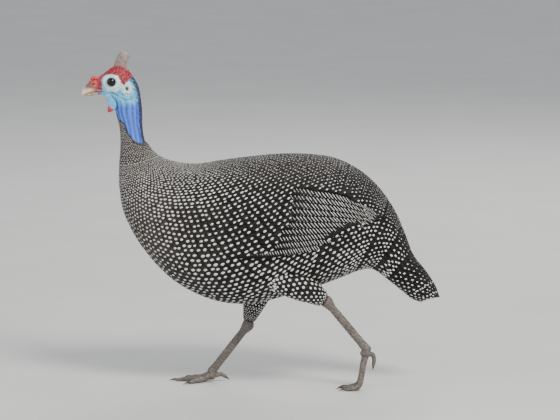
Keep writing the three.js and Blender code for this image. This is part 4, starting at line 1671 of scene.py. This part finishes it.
    def dress(self, piece: Piece) -> None:
        """Give a horn piece its tint, with bands of darker and paler plates down it."""
        points = np.array([v.co for v in piece.data.vertices]) * 1000
        bands = np.sin(points[:, 2] * 1.5 + points[:, 0] * 0.8 + 1.2 * noise_field(points, 0.2, 6))
        tint = 1 + 0.16 * noise_field(points, 0.35, 5) + 0.2 * np.minimum(bands, 0.5)
        add_colour(piece, "Tint", np.repeat(tint[:, None], 3, axis=1))

    def tube(self, name: str, limb: Limb, rings: int, sides: int, finish: bpy.types.Material,
             lift: Relief | float = 0.0) -> Piece:
        """A closed tube over a limb, kept above the floor.

        Args:
            name: the piece's name.
            limb: the limb.
            rings: how many rings it has.
            sides: how many points a ring has.
            finish: its material.
            lift: height over the limb, or a function that gives it.

        Returns:
            The new object.
        """
        points = limb.tube(rings, sides, lift)
        points[..., 2] = np.maximum(points[..., 2], self.FLOOR_GAP)
        return closed_tube(name, self.shift.place(points), finish)

    def build_bare(self) -> None:
        """Make shank, foot and claws."""
        word, horn = self.side.word, self.finishes.leg
        shank = self.tube(f"shank_{word}_skin", self.shank(), 130, 28, horn, self.scutes(3.0, 0.55))
        self.dress(shank)
        settle(shank, "leg_scales", f"shank_{word}")
        toes = []
        for _, turn, length in self.TOES:
            toe = Limb(self.toe_rows(turn, length))
            toes.append(self.tube("toe", toe, 70, 18, horn, self.scutes(3.4, 0.5)))
        toes.append(self.tube("toe", Limb(self.rear_rows()), 40, 16, horn, self.scutes(3.0, 0.45)))
        toes.append(self.tube("toe", Limb(self.pad_rows()), 20, 20, horn))
        foot = join_pieces(toes, f"foot_{word}_skin")
        self.dress(foot)
        settle(foot, "leg_scales", f"foot_{word}")
        for name, rows, length in self.claw_list():
            claw = self.tube(f"claw_{name}_{word}_horn", Limb(self.claw_rows(rows, length)), 24, 12,
                             self.finishes.claw)
            self.dress(claw)
            settle(claw, "claw_horn", f"claw_{name}_{word}")

    def claw_list(self) -> list[tuple[str, list[tuple[float, ...]], float]]:
        """Each claw's name, toe rows and length."""
        claws = [(name, self.toe_rows(turn, length), 9.5) for name, turn, length in self.TOES]
        return claws + [("rear", self.rear_rows(), 6.0)]

    def tuft_roots(self, limb: Limb) -> tuple[Array, ...]:
        """Where the drumstick's feathers are rooted, in staggered rows.

        Args:
            limb: the drumstick.

        Returns:
            Place, angle, width in millimetres, and millimetres to the station, for each feather.
        """
        around = self.tufts_around
        place, angle, pitch, reach = [], [], [], []
        row, n = 0.0, 0
        while row < len(limb.rows) - 1.16:
            ring = limb.at(np.full(24, row), np.linspace(0, 6.28, 24))
            girth = 2 * math.pi * float(np.mean(ring.std(axis=0)[[0, 2]]) * 1.4 + 3)
            step = limb.at(np.array([row - 0.05, row + 0.05]), np.zeros(2))
            station = np.linalg.norm(step[1] - step[0]) / 0.1
            place.append(np.full(around, row))
            angle.append((np.arange(around) + 0.5 * (n % 2)) * 2 * math.pi / around)
            pitch.append(np.full(around, girth / around))
            reach.append(np.full(around, station))
            row += girth / around * (0.9 if row > 1 else 0.45) / station
            n += 1
        return tuple(map(np.concatenate, (place, angle, pitch, reach)))

    def build_feathers(self) -> None:
        """Make the drumstick's feathers."""
        limb = self.thigh()
        rng = np.random.default_rng(60 + self.side.value)
        place, angle, pitch, reach = self.tuft_roots(limb)
        count = len(place)
        length = pitch * 2.8 * rng.uniform(0.92, 1.08, count)
        share = 0.68
        half = share * 2 * math.pi / self.tufts_around

        def at(along: Array, across: Array, lift: Array) -> Array:
            """Points over the drumstick's feathers."""
            return limb.at(per_feather(place, along) + per_feather(length / reach, along) * along,
                           per_feather(angle, along) + half * across, lift)

        coat = Coat(f"drumstick_{self.side.word}_coat", self.shift, self.finishes)
        ones = np.ones(count)
        root, tip = -1.3, 0.4
        bake = np.stack([place / (len(limb.rows) - 1), (angle / (2 * math.pi)) % 1.0], -1)
        coat.add(at, root * ones, tip * ones, rng.normal(0, 0.08, count), bake, 0.1 * ones)
        radius = np.minimum(1.9, pitch * 0.25) * rng.uniform(0.85, 1.1, count)
        lift = coat.height(root, tip, 0.8) + coat.CAMBER + 0.2 * ones
        coat.add_spots(at, 0.8 * ones, rng.normal(0, 0.05, count), radius * 1.1 / length,
                       radius / (share * pitch), lift, bake, 0.1 * ones)
        coat.build()


# The drumsticks' sections: x, height, half depth, half width and distance from the middle plane
LEFT_DRUMSTICK = [(8, 137, 12, 14, 32), (27, 133, 15, 20, 37), (46, 127, 16, 20, 38), (61, 119, 13, 15, 34),
                  (72, 111, 9, 8.5, 29)]
RIGHT_DRUMSTICK = [(-4, 132, 24, 20, 39), (-7, 108, 18, 17, 35), (-11, 90, 11.5, 11, 31),
                   (-15, 78, 7.5, 7, 28)]


@dataclass
class Skin:
    """The one skin of head, neck, trunk, tail root and drumsticks."""

    shift: Shift
    finishes: Finishes
    legs: Sequence[Leg]
    sides: int = 112

    def places(self) -> Array:
        """Where the rings lie, close together on the head."""
        return np.concatenate([
            np.linspace(0, NECK_PLACE, 92, endpoint=False),
            np.linspace(NECK_PLACE, TORSO_PLACE, 54, endpoint=False),
            np.linspace(TORSO_PLACE, TAIL_PLACE, 70, endpoint=False),
            np.linspace(TAIL_PLACE, BODY.last - 0.9, 20),
        ])

    @staticmethod
    def ridges(points: Array, angle: Array) -> Array:
        """The ridges that run down the neck, between -1 and 1."""
        return np.cos(17 * angle + 1.8 * noise_field(points, 0.16, 6))

    def relief(self, points: Array, place: Array, angle: Array) -> Array:
        """How far each point of the skin stands off the plain form.

        Args:
            points: points in the working frame.
            place: places in stations.
            angle: angles from the ridge.

        Returns:
            A height for each point.
        """
        x, y, z = points[..., 0], points[..., 1], points[..., 2]
        depth = -COAT_DEPTH * smooth_step(8.6, 12.6, place)
        bare = 1 - smooth_step(9.5, 11.5, place)
        flank = np.abs(y) > 5
        eye = np.hypot(x - EYE_X, z - EYE_Z)
        depth = depth - 3.4 * (1 - smooth_step(3.4, 5.6, eye)) * flank
        depth = depth + 0.55 * np.exp(-(((eye - 7.4) / 1.2) ** 2)) * flank
        ear = ear_distance(x, z)
        depth = depth - 2.4 * (1 - smooth_step(0.45, 1.0, ear)) * flank
        depth = depth + 0.7 * np.exp(-(((ear - 1.35) / 0.25) ** 2)) * flank
        mouth = np.abs(z - MOUTH_Z) * (1 + 0.05 * np.maximum(x + 189.4, 0) ** 2)
        depth = depth - 1.5 * np.exp(-((mouth / 0.55) ** 2)) * (x < -189)
        depth = depth - 0.6 * np.exp(-((mouth / 0.8) ** 2)) * (x < -187)
        crown = smooth_step(-1.5, 2.5, z - border_height(CROWN_BORDER, x)) * (place < 6.2)
        depth = depth + crown * 0.5 * noise_field(points, 1.5, 3)
        folds = np.sin(z * 2.1 + 1.4 * noise_field(points, 0.25, 8)) * smooth_step(6.4, 8.0, place)
        pebbles = 0.2 * noise_field(points, 0.9, 4) + 0.12 * noise_field(points, 2.4, 5)
        depth = depth + bare * (0.16 * folds + pebbles)
        cere = smooth_step(-187, -191, x) * smooth_step(360, 364, z)
        depth = depth + cere * 0.45 * np.maximum(noise_field(points, 1.7, 9), -0.2)
        depth = depth + 0.34 * bare * self.ridges(points, angle) * smooth_step(5.6, 7.6, place)
        depth = depth - 0.22 * self.lid_folds(points)
        return depth - 0.85 * self.creases(points) * (place < 9)

    @staticmethod
    def paint(skin: Piece, places: Array, tint: Array) -> None:
        """Colour the trunk's own points by region and all others as dark as the down under feathers.

        Args:
            skin: the joined skin.
            places: the trunk's own points.
            tint: their colours.
        """
        tree = KDTree(len(places))
        for number, place in enumerate(places):
            tree.insert(place, number)
        tree.balance()
        colours = np.full((len(skin.data.vertices), 3), 0.025)
        for number, vertex in enumerate(skin.data.vertices):
            _, near, gap = tree.find(vertex.co)
            if gap < 0.0005:
                colours[number] = tint[near]
        add_colour(skin, "Tint", colours)

    @staticmethod
    def lid_folds(points: Array) -> Array:
        """One in the thin folds that curve below the eye, zero between and beyond them."""
        x, z = points[..., 0], points[..., 2]
        off = np.hypot((x - EYE_X) * 0.8, z - EYE_Z)
        lines = smooth_step(0.35, 1.0, np.cos(2.7 * off + 1.5 * noise_field(points, 0.35, 51)))
        low = smooth_step(1.0, -4.0, z - EYE_Z)
        return lines * low * smooth_step(7.6, 8.8, off) * smooth_step(17.0, 12.5, off)

    @staticmethod
    def creases(points: Array) -> Array:
        """One in the creases below the eye and ear, fading to zero beside them."""
        x, z = points[..., 0], points[..., 2]
        near = np.full(x.shape, 99.0)
        for crease in CREASES:
            line = smooth_rows(np.array(crease, dtype=float), np.linspace(0, len(crease) - 1, 24))
            gap = np.hypot(x[..., None] - line[:, 0], z[..., None] - line[:, 1]).min(-1)
            near = np.minimum(near, gap)
        return np.exp(-((near / 0.85) ** 2)) * (0.75 + 0.25 * noise_field(points, 0.8, 41))

    def colours(self, points: Array, place: Array, angle: Array) -> Array:
        """The skin's colour by region, as linear RGB, with painted shade in its hollows and creases and
        painted highlights on its ridges and bumps.

        Args:
            points: points in the working frame.
            place: places in stations.
            angle: angles from the ridge.

        Returns:
            A colour for each point.
        """
        x, z = points[..., 0], points[..., 2]
        wave = noise_field(points, 0.5, 21)
        fine = noise_field(points, 1.6, 22)
        pale, sky = np.array([0.72, 1.0, 0.98]), np.array([0.17, 0.62, 0.9])
        cobalt, violet = np.array([0.07, 0.19, 0.76]), np.array([0.022, 0.02, 0.075])
        crimson, pink = np.array([0.31, 0.008, 0.022]), np.array([0.6, 0.1, 0.11])
        plumage = np.array([0.03, 0.027, 0.027])

        colour = np.broadcast_to(sky, points.shape).copy()

        def lay(paint: Array, share: Array) -> None:
            """Lay a colour over the skin's own by its share."""
            colour[:] = colour + (paint - colour) * np.clip(share, 0, 1)[..., None]

        eye = np.hypot(x - EYE_X, (z - EYE_Z) * 1.05)
        stretch_x, stretch_z = np.where(x > EYE_X, 0.62, 1.05), np.where(z < EYE_Z, 0.9, 1.15)
        below = np.hypot((x - EYE_X) * stretch_x, (z - EYE_Z) * stretch_z)
        lay(pale, 1 - smooth_step(8.6, 12.0, below + 1.9 * wave))
        ear = np.hypot(x - EAR_X, (z - EAR_Z) * 0.9)
        lay(pale * 0.92, 1 - smooth_step(5, 8.5, ear + 1.2 * wave))
        lay(cobalt, smooth_step(349, 338, z + 3 * wave))
        nape = 1 - smooth_step(0.4, 1.05, np.abs(angle) + 0.15 * fine)
        lay(violet, nape * smooth_step(382, 373, z))
        red = smooth_step(-1.2, 1.2, z - border_height(CROWN_BORDER, x) + 0.8 * fine)
        red = red * (x < -146) * (z > 350)
        lay(crimson, red)
        streak = noise_field(points * np.array([1.0, 1.0, 0.45]), 2.2, 23)
        lay(pink * 1.1, red * smooth_step(0.35, 1.1, streak) * 0.8)
        lay(crimson * 0.35, red * smooth_step(-0.4, -1.1, streak) * 0.8)
        cere = smooth_step(-188.5, -190.5, x + 1.6 * wave + 0.12 * (z - 366))
        cere = cere * smooth_step(358, 360.5, z + 0.7 * wave)
        # painted highlight: the cere's raised warts are painted pink, following the same waves that raise
        # them
        warts = smooth_step(-0.3, 0.8, noise_field(points, 1.7, 9))
        lay(crimson * 1.05, cere)
        lay(pink * 1.15, cere * warts)
        lay(pink * 0.8, smooth_step(-190, -193, x) * smooth_step(358.5, 356, z) * 0.8)
        # painted shade: the sunken ear opening is darkened
        ear_hole_shade = 1 - smooth_step(0.35, 0.95, ear_distance(x, z))
        lay(violet * 0.3, ear_hole_shade)
        # painted shade: the skin sunk round the eye is darkened, most deeply next to the eyeball
        lay(np.array([0.05, 0.2, 0.33]), 0.75 * (1 - smooth_step(5.4, 7.6, eye)))
        lay(violet * 0.3, 1 - smooth_step(4.6, 5.8, eye))
        # painted shade: the grooves of the folds below the eye are darkened
        colour *= (1 - 0.6 * self.lid_folds(points))[..., None]
        # painted light and shade: the neck's ridges are lighter on their crests and darker between them, and
        # the raised pebbles are painted lighter as highlights
        bands = self.ridges(points, angle) * smooth_step(352, 338, z)
        bands = np.clip(bands, -1, 0.55) * (0.75 + 0.35 * noise_field(points, 0.3, 7)) * 1.6
        pebbles = smooth_step(0.3, 1.1, noise_field(points, 2.4, 5)) * (1 - red)
        colour *= (1 + 0.34 * bands + 0.35 * pebbles)[..., None]
        # painted shade: the creases below the eye and ear and behind the wattle are darkened
        crease = self.creases(points) * (place < 9) * (1 - red)
        lay(np.array([0.005, 0.03, 0.12]), 0.95 * crease)
        # painted shade: the groove of the mouth's line is darkened
        mouth = np.exp(-((np.abs(z - MOUTH_Z) / 0.6) ** 2)) * (x < -188.6)
        lay(np.array([0.06, 0.01, 0.015]), mouth)
        feathered = smooth_step(1.2, -1.2, z - border_height(BARE_BORDER, x) + 1.2 * wave)
        spots = smooth_step(0.75, 1.0, fine)
        coat = plumage + spots[..., None] * 0.25
        lay(coat, feathered)
        return np.clip(colour, 0, 1)

    def build(self) -> None:
        """Make the skin, with the drumsticks joined on."""
        place, angle = ring_grid(self.places(), self.sides)
        plain = BODY.at(place, angle)
        rings = self.shift.place(BODY.at(place, angle, self.relief(plain, place, angle)))
        skin = closed_tube("skin", rings, self.finishes.skin)
        tint = self.colours(plain, place, angle).reshape(-1, 3)
        for leg in self.legs:
            thigh = self.shift.place(leg.thigh().tube(40, 40, -1.2))
            unite(skin, closed_tube("thigh", thigh, self.finishes.skin))
        self.paint(skin, rings.reshape(-1, 3), tint)
        settle(skin, "face_skin", "torso", "neck", "head", "drumstick_left", "drumstick_right")


@dataclass
class Head:
    """Bill, cere, casque, eyes, lids, papillae and wattles."""

    shift: Shift
    finishes: Finishes

    WARTS = 26

    def reach(self, x: float, z: float) -> float:
        """How far from the middle plane the head reaches at a side-view place."""
        places, angles = np.meshgrid(np.linspace(0, 7, 141), np.linspace(0.05, 3.09, 181), indexing="ij")
        points = BODY.at(places, angles)
        near = np.hypot(points[..., 0] - x, points[..., 2] - z)
        return float(points[..., 1].ravel()[np.argmin(near)])

    def tinted(self, piece: Piece, tint: Callable[[Array], Array]) -> Piece:
        """Give a piece a colour worked out from its points in the working frame."""
        points = np.array([v.co for v in piece.data.vertices]) / MM
        points[:, 0] -= self.shift.x / MM
        points[:, 2] -= self.shift.z / MM
        add_colour(piece, "Tint", tint(points))
        return piece

    def bill(self) -> None:
        """Both halves of the bill, paler along the cutting edges, with the nostrils."""
        upper = Loft(BILL_UPPER, 2.0)
        place, angle = ring_grid(np.linspace(0, upper.last, 60), 48)
        plain = upper.at(place, angle)
        nostril = nostril_distance(plain[..., 0], plain[..., 2])
        sunk = -1.6 * (1 - smooth_step(0.5, 1.1, nostril)) + 0.35 * np.exp(-(((nostril - 1.5) / 0.35) ** 2))
        edge = 0.3 * np.exp(-(((np.abs(angle) - 2.5) / 0.12) ** 2))
        rings = self.shift.place(upper.at(place, angle, sunk + edge))
        tube = closed_tube("bill_upper_horn", rings, self.finishes.bill)

        def upper_tint(p: Array) -> Array:
            """Red at the root, cream at the edges and the tip, with painted shade in the sunken nostril."""
            red = smooth_step(-204.5, -199.5, p[:, 0] + 0.35 * (p[:, 2] - 364))
            tip = 0.9 * smooth_step(-208, -214, p[:, 0])
            pale = np.maximum(smooth_step(363.0, 358.5, p[:, 2]), tip)[:, None]
            mauve, cream = np.array([0.42, 0.31, 0.34]), np.array([1.75, 2.0, 2.3])
            base = mauve + (cream - mauve) * pale
            base = base + (np.array([1.15, 0.3, 0.33]) - base) * (0.85 * red)[:, None]
            # painted shade: the nostril's hollow is darkened
            clear_of_nostril_shade = smooth_step(0.5, 1.0, nostril_distance(p[:, 0], p[:, 2]))
            return base * (0.12 + 0.88 * clear_of_nostril_shade)[:, None]

        settle(self.tinted(tube, upper_tint), "bill_horn", "bill_upper")
        lower = Loft(BILL_LOWER, 2.0)
        place, angle = ring_grid(np.linspace(0, lower.last, 36), 36)
        tube = closed_tube("bill_lower_horn", self.shift.place(lower.at(place, angle)), self.finishes.bill)
        settle(self.tinted(tube, lambda p: np.full((len(p), 3), 0.92)), "bill_horn", "bill_lower")

    def casque(self) -> None:
        """The helmet: a rough horn knob that leans back."""
        shape = Loft(CASQUE, 2.2)
        place, angle = ring_grid(np.linspace(0, shape.last, 60), 44)
        plain = shape.at(place, angle)
        rough = 0.3 * noise_field(plain, 0.7, 31) + 0.16 * noise_field(plain, 2.0, 32)
        rings = self.shift.place(shape.at(place, angle, rough - 0.15))
        tube = closed_tube("casque_horn_knob", rings, self.finishes.casque)

        def tint(p: Array) -> Array:
            """Uneven horn with a red foot."""
            base = np.ones((len(p), 3)) * (0.9 + 0.25 * noise_field(p, 0.5, 33))[:, None]
            foot = smooth_step(392, 386, p[:, 2] + noise_field(p, 0.8, 34))
            return base + (np.array([1.0, 0.28, 0.3]) - base) * (0.55 * foot)[:, None]

        settle(self.tinted(tube, tint), "casque_horn", "casque")

    def eye(self, side: Side) -> None:
        """The eyeball in its lids."""
        reach = self.reach(EYE_X, EYE_Z)
        centre = self.shift.place(np.array([EYE_X, side.value * (reach - EYE_SUNK), EYE_Z]))
        bpy.ops.object.select_all(action="DESELECT")
        bpy.ops.mesh.primitive_uv_sphere_add(segments=48, ring_count=28, radius=EYE_RADIUS * MM,
                                             location=centre, rotation=(math.pi / 2, 0, 0))
        ball = bpy.context.object
        ball.name = f"eyeball_{side.word}"
        ball.data.materials.append(self.finishes.eye)
        apply_place(ball)
        face_outward(ball)

        def tint(p: Array) -> Array:
            """A black pupil in a brown iris."""
            off = np.hypot(p[:, 0] - EYE_X, p[:, 2] - EYE_Z)
            iris = smooth_step(3.0, 3.4, off)[:, None]
            black, brown = np.array([0.002, 0.002, 0.002]), np.array([0.009, 0.005, 0.003])
            return black * (1 - iris) + brown * iris

        settle(self.tinted(ball, tint), "eye", f"eye_{side.word}")
        self.lids(side, reach)

    def lids(self, side: Side, reach: float) -> None:
        """A puffy ring of skin round the eye, a little wider than tall."""
        bpy.ops.object.select_all(action="DESELECT")
        place = self.shift.place(np.array([EYE_X, side.value * (reach + 0.1), EYE_Z]))
        bpy.ops.mesh.primitive_torus_add(location=place, rotation=(math.pi / 2, 0, 0),
                                         major_segments=64, minor_segments=14,
                                         major_radius=(EYE_OPENING + 0.55) * MM, minor_radius=0.95 * MM)
        ring = bpy.context.object
        ring.name = f"lids_{side.word}"
        bpy.ops.object.mode_set(mode="EDIT")
        bpy.ops.mesh.select_all(action="SELECT")
        bpy.ops.transform.resize(value=(1.04, 1.0, 0.97), center_override=tuple(place))
        bpy.ops.object.mode_set(mode="OBJECT")
        apply_place(ring)
        ring.data.materials.append(self.finishes.skin)
        face_outward(ring)

        def tint(p: Array) -> Array:
            """Pale skin with painted shade along its inner edge, next to the eye."""
            off = np.hypot(p[:, 0] - EYE_X, p[:, 2] - EYE_Z)
            # painted shade: the lids darken towards the sunken eye
            inner = 1 - smooth_step(EYE_OPENING - 0.3, EYE_OPENING + 1.5, off)
            base = np.array([0.5, 0.72, 0.8]) * (1 + 0.1 * noise_field(p, 1.5, 35))[:, None]
            return base + (np.array([0.03, 0.04, 0.07]) - base) * inner[:, None]

        settle(self.tinted(ring, tint), "face_skin")

    def papillae(self) -> None:
        """The cluster of soft warts over the cere."""
        rng = np.random.default_rng(50)
        lumps = []
        for share in np.linspace(0, 1, self.WARTS):
            x = -204.6 + 11.0 * share + rng.uniform(-0.5, 0.5)
            top = 371.3 + 3.6 * math.sin(math.pi * min(share * 1.25, 1.0)) + 4.2 * share**1.6
            y = rng.uniform(-2.9, 2.9)
            z = top - 0.16 * y * y - 1.4 + rng.uniform(-0.4, 0.3)
            size = rng.uniform(1.2, 1.9)
            bpy.ops.object.select_all(action="DESELECT")
            bpy.ops.mesh.primitive_ico_sphere_add(subdivisions=3, radius=size * MM,
                                                  location=self.shift.place(np.array([x, y, z])),
                                                  scale=(1, 0.9, rng.uniform(0.9, 1.35)))
            lump = bpy.context.object
            apply_place(lump)
            lumps.append(lump)
        cluster = join_pieces(lumps, "papillae")
        cluster.data.materials.append(self.finishes.skin)
        face_outward(cluster)

        def tint(p: Array) -> Array:
            """Uneven red."""
            return np.array([0.6, 0.08, 0.09]) * (1 + 0.35 * noise_field(p, 1.4, 36))[:, None]

        settle(self.tinted(cluster, tint), "face_skin")

    def wattle(self, side: Side) -> None:
        """A folded blade of blue skin with a red bulb at its tip."""
        root = 11.4
        rows = [(-184.2, root - 1.8, 355.4, 2.8, 0.9), (-181.4, root + 0.9, 351.2, 3.8, 0.9),
                (-178.8, root + 2.2, 347, 4.6, 0.95), (-178, root + 2.8, 342, 4.9, 1.05),
                (-178.8, root + 2.7, 338.2, 4.5, 1.6), (-180.6, root + 2.2, 335.2, 3.2, 1.7),
                (-181.9, root + 1.9, 333.4, 0.8, 0.5)]
        last = len(rows) - 1
        place, angle = ring_grid(np.linspace(0, last, 56), 36, 0.0)
        whole = smooth_rows(np.array(rows), place)
        fold = 0.35 * np.sin(np.pi * place / last)
        deep, thick = np.maximum(whole[..., 3], 0.2), np.maximum(whole[..., 4], 0.2)
        x = whole[..., 0] + deep * np.cos(angle)
        y = side.value * (whole[..., 1] + deep * fold * np.cos(angle) + thick * np.sin(angle))
        rings = np.stack([x, y, whole[..., 2]], -1)
        rings = rings + 0.22 * noise_field(rings, 0.8, 37)[..., None] * np.array([0.4, side.value, 0.3])
        tube = closed_tube(f"wattle_{side.word}_fold", self.shift.place(rings), self.finishes.wattle)

        def tint(p: Array) -> Array:
            """Blue skin with a red bulb at its lower tip."""
            edge = p[:, 2] + 0.5 * noise_field(p, 0.9, 38) + 0.8 * (p[:, 0] + 181)
            red = smooth_step(342.5, 338.5, edge)
            base = np.array([0.13, 0.5, 0.8]) * (1 + 0.15 * noise_field(p, 0.8, 39))[:, None]
            return base + (np.array([0.5, 0.03, 0.05]) - base) * red[:, None]

        settle(self.tinted(tube, tint), "wattle_skin", f"wattle_{side.word}")

    def build(self) -> None:
        """Make the head's own pieces."""
        self.bill()
        self.casque()
        self.papillae()
        for side in Side:
            self.eye(side)
            self.wattle(side)


# Studio


@dataclass(frozen=True)
class Studio:
    """Camera at the photo's view, pale floor and soft lights."""

    pixel: float = 1.2 * MM
    photo_width: int = 560
    distance: float = 4.2
    elevation: float = 8.0
    sensor: float = 36.0
    middle_x: float = 0.0225
    middle_z: float = 0.214

    def camera(self) -> None:
        """Place the camera so that a pixel spans its real size at the bird."""
        lens = bpy.data.cameras.new("photo_camera")
        eye = link_object("photo_camera", lens)
        rise = math.radians(self.elevation)
        aim = Vector((self.middle_x, 0, self.middle_z))
        eye.location = aim + Vector((0, -math.cos(rise), math.sin(rise))) * self.distance
        eye.rotation_euler = (math.pi / 2 - rise, 0, 0)
        lens.sensor_width = self.sensor
        lens.lens = self.sensor * self.distance / (self.photo_width * self.pixel)
        lens.clip_end = 100
        bpy.context.scene.camera = eye

    def light(self, name: str, place: tuple[float, float, float], size: float, power: float,
              colour: Colour) -> None:
        """An area light that looks at the bird's middle.

        Args:
            name: the lamp's name.
            place: where it hangs, in metres.
            size: its width in metres.
            power: its power in watts.
            colour: its colour.
        """
        lamp = bpy.data.lights.new(name, "AREA")
        lamp.size = size
        lamp.energy = power
        lamp.color = colour
        holder = link_object(name, lamp)
        holder.location = place
        holder.rotation_euler = (Vector((0, 0, 0.2)) - Vector(place)).to_track_quat("-Z", "Y").to_euler()

    def build(self) -> None:
        """Set up camera, lights, sky and floor."""
        self.camera()
        self.light("key", (1.0, -1.7, 2.1), 0.8, 70, (1.0, 0.97, 0.92))
        self.light("fill", (-2.2, -1.4, 1.0), 1.8, 14, (0.92, 0.96, 1.0))
        self.light("rim", (0.6, 2.0, 1.8), 1.2, 26, (1.0, 0.98, 0.95))
        world = bpy.data.worlds.new("studio_air")
        world.use_nodes = True
        sky = world.node_tree.nodes["Background"]
        sky.inputs["Color"].default_value = (0.83, 0.86, 0.9, 1)
        sky.inputs["Strength"].default_value = 0.68
        bpy.context.scene.world = world
        bpy.ops.object.select_all(action="DESELECT")
        bpy.ops.mesh.primitive_plane_add(size=30, location=(0, 0, 0))
        floor = bpy.context.object
        floor.name = "studio_floor"
        desk = NodeDesk.open("studio_paper")
        shade = desk.ramp(desk.grain(6), (0.3, (0.66, 0.655, 0.64)), (0.7, (0.7, 0.695, 0.68)))
        desk.finish({"Base Color": shade, "Roughness": 0.9})
        floor.data.materials.append(desk.material)


def main() -> None:
    """Build the bird in order; each piece logs its face count."""
    logging.basicConfig(level=logging.INFO, format="%(message)s")
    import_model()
    shift = Shift.from_frame()
    finishes = Finishes()
    Studio().build()
    left = Leg(Side.LEFT, shift, finishes, LEFT_DRUMSTICK, (78, 107), (126, 49), tufts_around=16)
    right = Leg(Side.RIGHT, shift, finishes, RIGHT_DRUMSTICK, (-17, 69), (-61, 12))
    Skin(shift, finishes, (left, right)).build()
    patch = WingPatch()
    TrunkCoat(shift, finishes, patch).build()
    for side in Side:
        WingCoat(shift, finishes, patch, side).build()
    TailCoat(shift, finishes).build()
    for leg in (left, right):
        leg.build_feathers()
        leg.build_bare()
    Head(shift, finishes).build()


if __name__ == "__main__":
    main()
